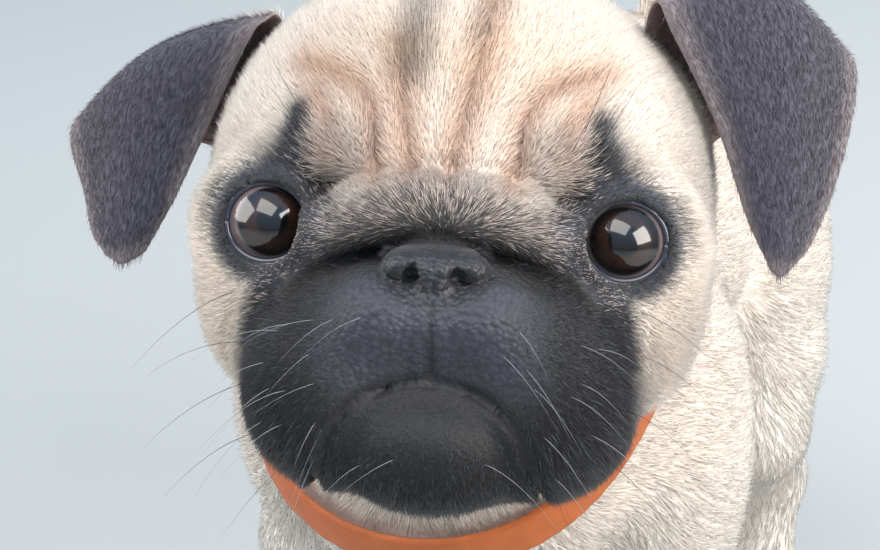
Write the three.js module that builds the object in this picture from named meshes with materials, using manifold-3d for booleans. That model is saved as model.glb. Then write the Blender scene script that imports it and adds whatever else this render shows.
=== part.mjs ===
// A pug puppy of about three months, life-size, standing on four feet with its head raised and turned a little.
// Millimetres, +Z up, nose towards -Y, the puppy's left side towards +X, the soles on z = 0.
// The body is one smooth surface, given as a distance function built from named forms. It is turned into
// triangles, which are made finer where the surface bends, and is then parted with thin cuts into head, neck,
// torso, legs and paws. Ears, eyes, tail and collar are made on their own and set on that surface.
import * as THREE from "three";
import { mergeVertices } from "three/addons/utils/BufferGeometryUtils.js";
import Module from "manifold-3d";

const wasm = await Module();
wasm.setup();

// Driving sizes
const GAP = 0.3; // between touching pieces
const EYE_HALF_SPACING = 34.7;
const EYE_RADIUS = 9.8;
const HEAD_HALF_WIDTH = 53;
const CHEST_HALF_WIDTH = 57;
const LEG_SPREAD = 45; // from the middle plane to each foot
const PLACE = [-8.1, 25.4, 0]; // moves the whole so that the origin is at the middle of its base

// Head frame: x to the puppy's left, y into the head, z to the crown, with the origin between the eyes
const HEAD_YAW = 15; // degrees, turned to the puppy's left
const HEAD_PITCH = 22; // degrees, nose raised
const HEAD_ROLL = 1.1;
const HEAD_AT = [23, -142.4, 223];

const degrees = (angle) => THREE.MathUtils.degToRad(angle);
const headMatrix = new THREE.Matrix4()
  .makeTranslation(...HEAD_AT)
  .multiply(new THREE.Matrix4().makeRotationZ(degrees(HEAD_YAW)))
  .multiply(new THREE.Matrix4().makeRotationX(degrees(-HEAD_PITCH)))
  .multiply(new THREE.Matrix4().makeRotationY(degrees(HEAD_ROLL)));
const intoHead = headMatrix.clone().invert().elements;

// Distance functions
const length = (x, y, z) => Math.sqrt(x * x + y * y + z * z);

function ellipsoid(p, at, radii) {
  const x = (p[0] - at[0]) / radii[0];
  const y = (p[1] - at[1]) / radii[1];
  const z = (p[2] - at[2]) / radii[2];
  const k0 = length(x, y, z);
  const k1 = length(x / radii[0], y / radii[1], z / radii[2]);
  return k1 > 0 ? (k0 * (k0 - 1)) / k1 : -Math.min(...radii);
}

// A tapering rod between two points [x, y, z, radius]
function rod(p, a, b) {
  const dx = b[0] - a[0];
  const dy = b[1] - a[1];
  const dz = b[2] - a[2];
  const along = (p[0] - a[0]) * dx + (p[1] - a[1]) * dy + (p[2] - a[2]) * dz;
  const t = Math.min(1, Math.max(0, along / (dx * dx + dy * dy + dz * dz)));
  const radius = a[3] + (b[3] - a[3]) * t;
  return length(p[0] - a[0] - dx * t, p[1] - a[1] - dy * t, p[2] - a[2] - dz * t) - radius;
}

// Smooth union, and smooth removal of b from a, over a width k
function blend(a, b, k) {
  const h = Math.max(k - Math.abs(a - b), 0) / k;
  return Math.min(a, b) - (h * h * k) / 4;
}
const carve = (a, b, k) => -blend(-a, b, k);

function chain(p, points, k) {
  let d = rod(p, points[0], points[1]);
  for (let i = 1; i + 1 < points.length; i++) d = blend(d, rod(p, points[i], points[i + 1]), k);
  return d;
}

// Values along a smooth curve through the given rows of numbers
function smooth(rows, count) {
  const last = rows.length - 1;
  const row = (i) => rows[Math.min(last, Math.max(0, i))];
  return Array.from({ length: count }, (_, s) => {
    const t = (s * last) / (count - 1);
    const i = Math.min(Math.floor(t), last - 1);
    const f = t - i;
    return row(i).map((p1, k) => {
      const p2 = row(i + 1)[k];
      const p0 = i > 0 ? row(i - 1)[k] : 2 * p1 - p2;
      const p3 = i + 2 <= last ? row(i + 2)[k] : 2 * p2 - p1;
      const bend = 2 * p0 - 5 * p1 + 4 * p2 - p3;
      return (2 * p1 + (p2 - p0) * f + bend * f * f + (3 * (p1 - p2) + p3 - p0) * f ** 3) / 2;
    });
  });
}

// How far a crease along a path of [x, z, depth, half width] points pushes the surface in, on the head's front
function crease(q, path) {
  let push = 0;
  for (let i = 0; i + 1 < path.length; i++) {
    const [a, b] = [path[i], path[i + 1]];
    const dx = b[0] - a[0];
    const dz = b[1] - a[1];
    const along = (q[0] - a[0]) * dx + (q[2] - a[1]) * dz;
    const t = Math.min(1, Math.max(0, along / (dx * dx + dz * dz)));
    const away = Math.hypot(q[0] - a[0] - dx * t, q[2] - a[1] - dz * t) / (a[3] + (b[3] - a[3]) * t);
    if (away < 1) push = Math.max(push, (a[2] + (b[2] - a[2]) * t) * (1 - away) ** 2);
  }
  return push * Math.min(1, Math.max(0, (24 - q[1]) / 12));
}

// Head forms, in the head frame. Those of a pair are given for the puppy's left side.
const CRANIUM = { at: [0, 46, 10], radii: [HEAD_HALF_WIDTH, 48, 46] };
const FOREHEAD = { at: [0, 26, 22], radii: [38, 26, 25] };
const CHEEK = { at: [27, 28, -13], radii: [25, 30, 27] };
const MUZZLE = { at: [0.8, 8, -26], radii: [36, 24, 25] };
const LIP_PAD = { at: [9, -8.6, -16.6], radii: [12, 13.3, 10.5] };
const LIP_MIDDLE = { at: [0, -8.6, -17], radii: [9, 12.8, 10] };
const FLEW = { at: [20.6, -2, -31], radii: [17.4, 18.5, 19.2] };
const LIP_SHIFT = 1; // the lips hang a little to the left
const CHIN = { at: [0, -5, -40], radii: [19.5, 17, 13.5] };
const JAW = { at: [0, 16, -36], radii: [30, 28, 17] };
const BROW = { at: [21, 5, 17], radii: [10, 8, 8] };
const ORBIT = { at: [35.5, 14, 0], radii: [16, 13, 14.5] };
const EYE_AT = [EYE_HALF_SPACING, 9.5, 0];
const LID_THICKNESS = 1.6;
const EYE_OPENING = { at: [EYE_HALF_SPACING + 0.2, 0, -0.1], radii: [7.9, 12, 7.6] };
const EYE_CORNER = { at: [27.4, 2.6, -1], radii: [2.4, 3.2, 1.7] };
const BROW_PIT = { at: [21.5, -2, 7.5], radii: [5.5, 5, 2.6] };
const NOSE = { at: [0, -10, -7], radii: [10.3, 9.5, 6] };
const NOSE_WING = { at: [6.4, -13.6, -6.2], radii: [4.2, 5.2, 3.8] };
const NOSE_BRIDGE = { at: [0, -13.4, -8.5], radii: [3.6, 6.4, 5.6] };
const NOSTRIL = [[4.6, -19.5, -8.4, 1.7], [4, -12, -6, 0.9]];
// The fold over the nose, from the middle down to the cheek
const NOSE_ROLL = smooth([
  [0, -8.6, 5.3, 6.6],
  [10, -8, 4.4, 6.6],
  [18, -5, 2, 6.4],
  [27, 0, -3.4, 6],
  [33.5, 4, -10.5, 5.2],
  [37, 9, -19, 4.2],
], 13);
// Creases, as x, z, depth and half width
const MOUTH = smooth([
  [0, -27, 1.8, 2],
  [6, -28.2, 2, 2],
  [12, -30.8, 2.4, 2.2],
  [17, -35.4, 2.6, 2.4],
  [20, -41.5, 2.8, 2.6],
  [21.4, -49.5, 1.2, 2.6],
  [22, -54, 0.1, 2.4],
], 15);
const PHILTRUM = [[0, -2, 0.9, 1], [0, -14, 1.3, 1.5], [0, -22, 1.8, 1.9], [0, -27.5, 2, 2.2]];
const NOSE_SLIT = [[4.4, -8.6, 2.2, 1.6], [7, -9, 1.6, 1.2], [10.4, -7.6, 0.8, 0.8]];
const NOSE_UPPER_SLIT = [[4.4, -8.6, 1.6, 1.4], [3.8, -5, 0.8, 0.9], [4.2, -3, 0.2, 0.6]];
const OUTER_CREASE = smooth([[13.8, 13, 0.8, 2.5], [15, 24, 1.6, 4], [20, 29.5, 1.3, 4], [27, 31, 0.3, 3]], 9);
const LEFT_CREASE = smooth([[1.3, 13, 0.6, 2.5], [3, 25, 1.4, 3.6], [5.4, 36, 1.1, 3.6], [6.4, 46, 0.2, 3]], 9);
const RIGHT_CREASE = smooth([[-6.4, 14, 0.6, 2.5], [-8.4, 22, 1.2, 3.4], [-9.6, 29, 0.3, 3]], 9);
const CHEEK_CREASE = smooth([[37.5, -13, 0.3, 4], [42.5, -23, 1.2, 5.5], [41.5, -36, 0.3, 5]], 9);

function headDistance(q) {
  const m = [Math.abs(q[0]), q[1], q[2]];
  let d = ellipsoid(q, CRANIUM.at, CRANIUM.radii);
  d = blend(d, ellipsoid(m, CHEEK.at, CHEEK.radii), 14);
  d = blend(d, ellipsoid(q, FOREHEAD.at, FOREHEAD.radii), 12);
  d = blend(d, ellipsoid(q, JAW.at, JAW.radii), 12);
  d = blend(d, ellipsoid(q, MUZZLE.at, MUZZLE.radii), 10);
  d = blend(d, ellipsoid(m, ORBIT.at, ORBIT.radii), 7);
  d = blend(d, ellipsoid(m, BROW.at, BROW.radii), 5);
  const hanging = [Math.abs(q[0] - LIP_SHIFT), q[1], q[2]];
  let lips = blend(ellipsoid(m, LIP_PAD.at, LIP_PAD.radii), ellipsoid(hanging, FLEW.at, FLEW.radii), 7);
  lips = blend(lips, ellipsoid(q, LIP_MIDDLE.at, LIP_MIDDLE.radii), 2);
  d = blend(d, lips, 5);
  d = blend(d, ellipsoid(q, CHIN.at, CHIN.radii), 2.5);
  let nose = blend(ellipsoid(q, NOSE.at, NOSE.radii), ellipsoid(m, NOSE_WING.at, NOSE_WING.radii), 1.5);
  nose = blend(nose, ellipsoid(q, NOSE_BRIDGE.at, NOSE_BRIDGE.radii), 1.5);
  d = blend(d, nose, 1.6);
  d = blend(d, chain(m, NOSE_ROLL, 0.6), 2.6);
  d = carve(d, ellipsoid(m, BROW_PIT.at, BROW_PIT.radii), 3);
  for (const path of [OUTER_CREASE, CHEEK_CREASE, MOUTH, PHILTRUM, NOSE_SLIT, NOSE_UPPER_SLIT]) {
    d += crease(m, path);
  }
  for (const path of [LEFT_CREASE, RIGHT_CREASE]) d += crease(q, path);
  d = carve(d, rod(m, NOSTRIL[0], NOSTRIL[1]), 0.7);
  const eye = length(m[0] - EYE_AT[0], m[1] - EYE_AT[1], m[2] - EYE_AT[2]);
  d = blend(d, eye - EYE_RADIUS - LID_THICKNESS, 3);
  d = carve(d, ellipsoid(m, EYE_OPENING.at, EYE_OPENING.radii), 1.2);
  return carve(d, ellipsoid(m, EYE_CORNER.at, EYE_CORNER.radii), 1);
}

// Body forms, in the puppy's own frame
const CHEST = { at: [0, -36, 140], radii: [CHEST_HALF_WIDTH, 58, 54] };
const WITHERS = { at: [0, -34, 172], radii: [32, 42, 27] };
const FORECHEST = { at: [0, -76, 132], radii: [39, 24, 37] };
const LOIN = { at: [0, 32, 147], radii: [47, 62, 45] };
const RUMP = { at: [0, 76, 152], radii: [47, 38, 43] };
const SHOULDER = { at: [45, -46, 132], radii: [21, 30, 42] };
const THIGH = { at: [40, 78, 120], radii: [21, 35, 44] };
const NECK = [[0, -62, 158, 46], [9, -92, 196, 42], [16, -103, 212, 38]];
const FRONT_LEG = [
  [LEG_SPREAD, -44, 118, 19],
  [LEG_SPREAD + 1, -42, 84, 16.5],
  [LEG_SPREAD, -49, 40, 12.2],
  [LEG_SPREAD, -53, 20, 12],
];
const HIND_LEG = [
  [LEG_SPREAD - 1, 66, 100, 20],
  [LEG_SPREAD, 58, 82, 15.5],
  [LEG_SPREAD - 1, 92, 48, 10.5],
  [LEG_SPREAD - 1, 90, 20, 10.2],
];
const FRONT_PAW = { at: [LEG_SPREAD, -57, 12], radii: [14.5, 17, 12.5] };
const HIND_PAW = { at: [LEG_SPREAD - 1, 82, 11], radii: [13, 18, 11.5] };
// Toes: sideways place, how far forward of the paw's middle, and radius
const TOES = [[-9.2, -8, 5.8], [-3.4, -14, 6.2], [3.4, -14, 6.2], [9.2, -8, 5.8]];
const TOE_HEIGHT = 6.6;
const CLAW_RADIUS = 1.7;
const CLAW_LENGTH = 6;

function pawDistance(m, paw) {
  let d = ellipsoid(m, paw.at, paw.radii);
  for (const [side, forward, radius] of TOES) {
    const at = [paw.at[0] + side, paw.at[1] + forward, TOE_HEIGHT];
    d = blend(d, ellipsoid(m, at, [radius * 0.86, radius * 1.45, radius * 1.15]), 1.6);
  }
  return d;
}

function bodyDistance(p) {
  const m = [Math.abs(p[0]), p[1], p[2]];
  let d = ellipsoid(p, CHEST.at, CHEST.radii);
  d = blend(d, ellipsoid(p, LOIN.at, LOIN.radii), 20);
  d = blend(d, ellipsoid(p, RUMP.at, RUMP.radii), 16);
  d = blend(d, ellipsoid(p, WITHERS.at, WITHERS.radii), 16);
  d = blend(d, ellipsoid(p, FORECHEST.at, FORECHEST.radii), 16);
  d = blend(d, chain(p, NECK, 10), 18);
  d = blend(d, ellipsoid(m, SHOULDER.at, SHOULDER.radii), 10);
  d = blend(d, ellipsoid(m, THIGH.at, THIGH.radii), 10);
  if (p[2] < 140) {
    d = blend(d, chain(m, FRONT_LEG, 8), 8);
    d = blend(d, chain(m, HIND_LEG, 8), 8);
    d = blend(d, pawDistance(m, FRONT_PAW), 6);
    d = blend(d, pawDistance(m, HIND_PAW), 6);
  }
  return d;
}

function headLocal(p) {
  const e = intoHead;
  return [
    e[0] * p[0] + e[4] * p[1] + e[8] * p[2] + e[12],
    e[1] * p[0] + e[5] * p[1] + e[9] * p[2] + e[13],
    e[2] * p[0] + e[6] * p[1] + e[10] * p[2] + e[14],
  ];
}

const HEAD_REACH = 95; // no form of the head lies further than this from the cranium's middle
function skinDistance(p) {
  const q = headLocal(p);
  const body = bodyDistance(p);
  const away = length(q[0], q[1] - CRANIUM.at[1], q[2]);
  if (away > HEAD_REACH) return body;
  return blend(body, headDistance(q), 14);
}

// Surface making
function gradient(distance, p, e = 0.02) {
  const g = [0, 1, 2].map((i) => {
    const a = [...p];
    const b = [...p];
    a[i] -= e;
    b[i] += e;
    return distance(b) - distance(a);
  });
  const size = length(...g) || 1;
  return { normal: g.map((v) => v / size), slope: size / (2 * e) };
}

function project(distance, p, reach) {
  for (let i = 0; i < 4; i++) {
    const d = distance(p);
    if (Math.abs(d) < 0.005) break;
    const { normal, slope } = gradient(distance, p);
    const move = Math.max(-reach, Math.min(reach, d / Math.max(slope, 0.35)));
    for (let k = 0; k < 3; k++) p[k] -= normal[k] * move;
  }
}

// Surface nets: one point in each grid cell that the surface crosses, and a quad across each crossed grid edge
function surfaceOf(distance, low, high, step) {
  const n = [0, 1, 2].map((i) => Math.ceil((high[i] - low[i]) / step) + 1);
  const index = (i, j, k) => (k * n[1] + j) * n[0] + i;
  const values = new Float64Array(n[0] * n[1] * n[2]);
  for (let k = 0; k < n[2]; k++)
    for (let j = 0; j < n[1]; j++)
      for (let i = 0; i < n[0]; i++)
        values[index(i, j, k)] = distance([low[0] + i * step, low[1] + j * step, low[2] + k * step]);
  const corners = [[0, 0, 0], [1, 0, 0], [0, 1, 0], [1, 1, 0], [0, 0, 1], [1, 0, 1], [0, 1, 1], [1, 1, 1]];
  const edges = [[0, 1], [2, 3], [4, 5], [6, 7], [0, 2], [1, 3], [4, 6], [5, 7], [0, 4], [1, 5], [2, 6], [3, 7]];
  const cellPoint = new Map();
  const points = [];
  for (let k = 0; k + 1 < n[2]; k++)
    for (let j = 0; j + 1 < n[1]; j++)
      for (let i = 0; i + 1 < n[0]; i++) {
        const v = corners.map((c) => values[index(i + c[0], j + c[1], k + c[2])]);
        if (v.every((d) => d < 0) || v.every((d) => d >= 0)) continue;
        const sum = [0, 0, 0];
        let count = 0;
        for (const [a, b] of edges) {
          if (v[a] < 0 === v[b] < 0) continue;
          const t = v[a] / (v[a] - v[b]);
          for (let c = 0; c < 3; c++) sum[c] += corners[a][c] + (corners[b][c] - corners[a][c]) * t;
          count++;
        }
        cellPoint.set(index(i, j, k), points.length);
        points.push([i, j, k].map((v0, c) => low[c] + (v0 + sum[c] / count) * step));
      }
  const faces = [];
  const axes = [[1, 2], [2, 0], [0, 1]];
  for (let k = 1; k + 1 < n[2]; k++)
    for (let j = 1; j + 1 < n[1]; j++)
      for (let i = 1; i + 1 < n[0]; i++)
        axes.forEach(([u, v], axis) => {
          const at = [i, j, k];
          const next = [...at];
          next[axis]++;
          const inside = values[index(...at)] < 0;
          if (inside === values[index(...next)] < 0) return;
          const cell = (du, dv) => {
            const c = [...at];
            c[u] -= du;
            c[v] -= dv;
            return cellPoint.get(index(...c));
          };
          const quad = [cell(1, 1), cell(0, 1), cell(0, 0), cell(1, 0)];
          if (!inside) quad.reverse();
          const [a, b, c, d] = quad;
          const span = (s, e) => length(...points[s].map((x, q) => x - points[e][q]));
          if (span(a, c) <= span(b, d)) faces.push([a, b, c], [a, c, d]);
          else faces.push([a, b, d], [b, c, d]);
        });
  return { points, faces };
}

// Moves each point towards the middle of its neighbours and back onto the surface
function relax(mesh, distance, share, reach) {
  const sums = mesh.points.map(() => [0, 0, 0, 0]);
  for (const [a, b, c] of mesh.faces)
    for (const [s, e] of [[a, b], [b, c], [c, a]])
      for (const [from, to] of [[s, e], [e, s]]) {
        for (let k = 0; k < 3; k++) sums[to][k] += mesh.points[from][k];
        sums[to][3]++;
      }
  mesh.points = mesh.points.map((p, i) => {
    const moved = p.map((v, k) => v + (sums[i][k] / sums[i][3] - v) * share);
    project(distance, moved, reach(moved));
    return moved;
  });
}

// Splits the edges whose middle lies further from the surface than is allowed there
function refine(mesh, distance, allowed, shortest, rounds) {
  for (let round = 0; round < rounds; round++) {
    const { points, faces } = mesh;
    const middles = new Map();
    const key = (a, b) => (a < b ? a * 1e6 + b : b * 1e6 + a);
    const middleOf = (a, b) => points[a].map((v, k) => (v + points[b][k]) / 2);
    const seen = new Set();
    const mark = (a, b) => {
      if (middles.has(key(a, b))) return;
      const m = middleOf(a, b);
      project(distance, m, shortest(m));
      middles.set(key(a, b), points.length);
      points.push(m);
    };
    for (const f of faces)
      for (let i = 0; i < 3; i++) {
        const [a, b] = [f[i], f[(i + 1) % 3]];
        if (seen.has(key(a, b))) continue;
        seen.add(key(a, b));
        const m = middleOf(a, b);
        const long = length(...points[a].map((v, k) => v - points[b][k]));
        if (long > 2 * shortest(m) && Math.abs(distance(m)) > allowed(m)) mark(a, b);
      }
    for (let grown = true; grown; ) {
      grown = false;
      for (const f of faces) {
        const open = [0, 1, 2].filter((i) => !middles.has(key(f[i], f[(i + 1) % 3])));
        if (open.length !== 1) continue;
        mark(f[open[0]], f[(open[0] + 1) % 3]);
        grown = true;
      }
    }
    mesh.faces = faces.flatMap((f) => {
      const m = [0, 1, 2].map((i) => middles.get(key(f[i], f[(i + 1) % 3])));
      const marked = m.filter((v) => v !== undefined).length;
      if (marked === 0) return [f];
      if (marked === 3) return [[f[0], m[0], m[2]], [m[0], f[1], m[1]], [m[2], m[1], f[2]], [m[0], m[1], m[2]]];
      const i = m.findIndex((v) => v !== undefined);
      return [[f[i], m[i], f[(i + 2) % 3]], [m[i], f[(i + 1) % 3], f[(i + 2) % 3]]];
    });
    relax(mesh, distance, 0.4, shortest);
  }
  return mesh;
}

// Solids
function solidOfMesh({ points, faces }) {
  return new wasm.Manifold(
    new wasm.Mesh({
      numProp: 3,
      vertProperties: Float32Array.from(points.flat()),
      triVerts: Uint32Array.from(faces.flat()),
    }),
  );
}

function solidOf(geometry, matrix = new THREE.Matrix4()) {
  const plain = new THREE.BufferGeometry();
  plain.setAttribute("position", geometry.getAttribute("position").clone());
  if (geometry.index) plain.setIndex(geometry.index);
  plain.applyMatrix4(matrix);
  const merged = mergeVertices(plain, 1e-4);
  return new wasm.Manifold(
    new wasm.Mesh({
      numProp: 3,
      vertProperties: merged.attributes.position.array,
      triVerts: Uint32Array.from(merged.index.array),
    }),
  );
}

function largest(solid) {
  return solid.decompose().sort((a, b) => b.volume() - a.volume())[0];
}

// A box of the given size whose local z axis lies along normal, as a cutting tool
function slab(at, normal, width, depth, thickness, shift = 0) {
  const turn = new THREE.Quaternion().setFromUnitVectors(
    new THREE.Vector3(0, 0, 1),
    new THREE.Vector3(...normal).normalize(),
  );
  const geometry = new THREE.BoxGeometry(width, depth, thickness).translate(0, 0, shift);
  const place = new THREE.Matrix4().compose(new THREE.Vector3(...at), turn, new THREE.Vector3(1, 1, 1));
  return solidOf(geometry, place);
}

// The part of a solid on the side that normal points to, starting half a gap from the plane
function beyond(solid, at, normal, width, depth, thick = 400) {
  return solid.intersect(slab(at, normal, width, depth, thick, thick / 2 + GAP / 2));
}

function without(solid, at, normal, width, depth, thick = 400) {
  return solid.subtract(slab(at, normal, width, depth, thick, thick / 2 - GAP / 2));
}

// The same solid with every point moved outwards by a gap, as a tool that keeps neighbours apart
function swollen({ points, faces }, distance) {
  const moved = points.map((p) => {
    const { normal } = gradient(distance, p);
    return p.map((v, k) => v + normal[k] * GAP * 1.15);
  });
  return solidOfMesh({ points: moved, faces });
}

function gridOf(rows, closed) {
  const n = rows[0].length;
  const faces = [];
  for (let r = 0; r + 1 < rows.length; r++)
    for (let i = 0; i < (closed ? n : n - 1); i++) {
      const [a, b] = [r * n + i, r * n + ((i + 1) % n)];
      faces.push([a, b, b + n], [a, b + n, a + n]);
    }
  return faces;
}

// A round rod along part of a curve, from one of its steps to another, with a radius given for each share of the
// curve's length. An end is flat, or closed by a rounded point.
function sweep(curve, radiusAt, total, first, last, sides) {
  const frames = curve.computeFrenetFrames(total, false);
  const centres = [];
  const rows = [];
  for (let s = first; s <= last; s++) {
    const centre = curve.getPointAt(s / total);
    if (s === first && first > 0) centre.addScaledVector(frames.tangents[s], GAP);
    centres.push(centre);
    rows.push(
      Array.from({ length: sides }, (_, i) => {
        const turn = (2 * Math.PI * i) / sides;
        return centre
          .clone()
          .addScaledVector(frames.normals[s], Math.cos(turn) * radiusAt(s / total))
          .addScaledVector(frames.binormals[s], Math.sin(turn) * radiusAt(s / total))
          .toArray();
      }),
    );
  }
  const faces = gridOf(rows, true);
  const points = rows.flat();
  const lastRow = (last - first) * sides;
  for (const [s, row, way] of [[first, 0, -1], [last, last - first, 1]]) {
    const point = s === 0 || s === total ? radiusAt(s / total) * 0.7 : 0;
    points.push(centres[row].clone().addScaledVector(frames.tangents[s], way * point).toArray());
  }
  for (let i = 0; i < sides; i++) {
    const j = (i + 1) % sides;
    faces.push([points.length - 2, j, i], [points.length - 1, lastRow + i, lastRow + j]);
  }
  return outward(solidOfMesh({ points, faces }), { points, faces });
}

function outward(solid, { points, faces }) {
  return solid.volume() > 0 ? solid : solidOfMesh({ points, faces: faces.map(([a, b, c]) => [a, c, b]) });
}

// Where the head meets the neck, and the neck the chest: a point and a direction towards the tail
const fromHead = (x, y, z) => new THREE.Vector3(x, y, z).applyMatrix4(headMatrix).toArray();
const headWay = (x, y, z) => new THREE.Vector3(x, y, z).transformDirection(headMatrix).toArray();
const NAPE = { at: fromHead(0, 60, -12), normal: headWay(0, 0.773, -0.635) };
const NECK_BASE = { at: [0, -70, 162], normal: [-0.1, 0.62, -0.78] };
const WAIST = { at: [0, 16, 145], normal: [0, 1, 0] };
const side = (p, plane) => plane.normal.reduce((sum, v, k) => sum + v * (p[k] - plane.at[k]), 0);
const FRONT_PAW_TOP = 30;
const HIND_PAW_TOP = 28;
const MARGIN = 10;

const headField = (p) => Math.max(skinDistance(p), side(p, NAPE) - MARGIN);
const bodyField = (p) => Math.max(skinDistance(p), -side(p, NAPE) - MARGIN);
const pawField = (p) => Math.max(skinDistance(p), p[2] - FRONT_PAW_TOP - MARGIN);

// Meshes: fine over the face, plain over the body
const onFace = (p) => {
  const q = headLocal(p);
  return q[1] < 18 && Math.abs(q[0]) < 46;
};
const headMesh = refine(
  surfaceOf(headField, [-60, -194, 136], [82, -28, 290], 7.5),
  headField,
  (p) => (onFace(p) ? 0.65 : 1.6),
  (p) => (onFace(p) ? 1.3 : 4),
  3,
);
const bodyMesh = refine(
  surfaceOf(bodyField, [-90, -190, -14], [90, 150, 256], 13),
  bodyField,
  () => 1.5,
  () => 5,
  2,
);
const pawMesh = (low, high) => refine(surfaceOf(pawField, low, high, 7.4), pawField, () => 1, () => 3, 1);
const frontPawMesh = pawMesh([18, -94, -9], [66, -20, 50]);
const hindPawMesh = pawMesh([18, 46, -9], [66, 124, 50]);

const headSolid = largest(solidOfMesh(headMesh));
const bodySolid = largest(solidOfMesh(bodyMesh));
const headSwollen = swollen(headMesh, headField);
const bodySwollen = swollen(bodyMesh, bodyField);
const BIG = 500;

// A block over an outline of [x, z] points, from y0 to y1
function block(outline, y0, y1, matrix = new THREE.Matrix4()) {
  const shape = new THREE.Shape(outline.map(([x, z]) => new THREE.Vector2(x, z)));
  const geometry = new THREE.ExtrudeGeometry(shape, { depth: y1 - y0, bevelEnabled: false, steps: 1 });
  geometry.rotateX(Math.PI / 2).translate(0, y1, 0);
  return solidOf(geometry, matrix);
}

// Head, nose and lower jaw
const JAW_OUTLINE = MOUTH.map(([x, z]) => [x, z]);
function jawOutline(grow) {
  const right = [...JAW_OUTLINE, [22, -75]].map(([x, z]) => [x * (1 + grow / 20), z + (z > -45 ? grow : 0)]);
  return [...right, ...right.slice(1).reverse().map(([x, z]) => [-x, z])];
}
const NOSE_SIZE = [10.9, 6.6];
const NOSE_MIDDLE = -7;
function noseOutline(grow) {
  return Array.from({ length: 20 }, (_, i) => {
    const turn = (2 * Math.PI * i) / 20;
    return [(NOSE_SIZE[0] + grow) * Math.cos(turn), NOSE_MIDDLE + (NOSE_SIZE[1] + grow) * Math.sin(turn)];
  });
}
const headBlock = (outline, y0, y1) => block(outline, y0, y1, headMatrix);
const eyePlace = (sign) => fromHead(sign * EYE_AT[0], EYE_AT[1], EYE_AT[2]);
const eyeball = (sign, radius, detail) =>
  solidOf(new THREE.IcosahedronGeometry(radius, detail).translate(...eyePlace(sign)));

const NOSE_BACK = -7;
const JAW_BACK = 10;
const wholeHead = without(headSolid, NAPE.at, NAPE.normal, BIG, BIG);
const nose = wholeHead.intersect(headBlock(noseOutline(0), -60, NOSE_BACK));
const lowerJaw = wholeHead.intersect(headBlock(jawOutline(0), -60, JAW_BACK));
let head = wholeHead
  .subtract(headBlock(noseOutline(GAP), -60, NOSE_BACK + GAP))
  .subtract(headBlock(jawOutline(GAP), -60, JAW_BACK + GAP));
for (const sign of [1, -1]) head = head.subtract(eyeball(sign, EYE_RADIUS + GAP + 0.15, 3));

// Ears: rows of points from the base over the fold to the tip, inner edge first, given for the left side
const LEFT_EAR = [
  [[36, 42, 38], [46, 55, 30], [50, 66, 18]],
  [[37, 37, 46], [56, 50, 48], [68, 62, 34]],
  [[39, 31.5, 48], [60, 42, 54], [79, 52, 40]],
  [[42, 30, 42], [64, 38, 44], [81, 47, 32]],
  [[52, 33, 24], [67, 36, 22], [78, 41, 15]],
  [[59, 34, 6], [67, 33.5, 5], [73, 35, 1]],
  [[64.5, 31, -5], [66.5, 30, -6.5], [68.5, 31, -5]],
];
const RIGHT_EAR = [
  [[37, 44, 36], [47, 57, 24], [49, 66, 12]],
  [[40, 40, 42], [62, 55, 34], [74, 62, 18]],
  [[42, 36, 41], [67, 46, 33.5], [83.5, 50, 18]],
  [[45, 34, 37], [69, 40, 27], [84.5, 46, 13]],
  [[53, 37, 19], [70, 37, 12], [80, 41, 3]],
  [[59.5, 35, 2.5], [69, 33.5, -2], [76.5, 35, -5.5]],
  [[64.5, 32, -8.5], [68.6, 30, -11.2], [72.6, 31, -9.6]],
];
const EAR_THICKNESS = 2.6;
const EAR_EDGE = 1.3;
const EAR_ACROSS = 5;
const EAR_ALONG = 13;

function ear(rows, sign) {
  const lines = [0, 1, 2].map((i) => smooth(rows.map((row) => row[i]), EAR_ALONG + 1));
  const vector = ([x, y, z]) => new THREE.Vector3(...fromHead(sign * x, y, z));
  const sheet = lines[0].map((_, r) => smooth(lines.map((line) => line[r]), EAR_ACROSS).map(vector));
  const at = (r, i) =>
    sheet[Math.min(EAR_ALONG, Math.max(0, r))][Math.min(EAR_ACROSS - 1, Math.max(0, i))];
  const faceRows = [1, -1].map((face) =>
    sheet.map((row, r) =>
      row.map((p, i) => {
        const along = at(r + 1, i).clone().sub(at(r - 1, i));
        const over = at(r, i + 1).clone().sub(at(r, i - 1));
        const normal = along.cross(over).normalize();
        const edge = i === 0 || i === EAR_ACROSS - 1 || r === EAR_ALONG;
        return p.clone().addScaledVector(normal, (face * (edge ? EAR_EDGE : EAR_THICKNESS)) / 2).toArray();
      }),
    ),
  );
  const count = sheet.length * EAR_ACROSS;
  const front = gridOf(faceRows[0], false);
  const back = front.map(([a, b, c]) => [a + count, c + count, b + count]);
  const rim = [];
  for (let i = 0; i + 1 < EAR_ACROSS; i++) rim.push(i);
  for (let r = 0; r < EAR_ALONG; r++) rim.push(r * EAR_ACROSS + EAR_ACROSS - 1);
  for (let i = EAR_ACROSS - 1; i > 0; i--) rim.push(EAR_ALONG * EAR_ACROSS + i);
  for (let r = EAR_ALONG; r > 0; r--) rim.push(r * EAR_ACROSS);
  const walls = rim.flatMap((a, i) => {
    const b = rim[(i + 1) % rim.length];
    return [[b, a, a + count], [b, a + count, b + count]];
  });
  const mesh = { points: faceRows.flat(2), faces: [...front, ...back, ...walls] };
  return largest(outward(solidOfMesh(mesh), mesh).subtract(headSwollen));
}

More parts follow.
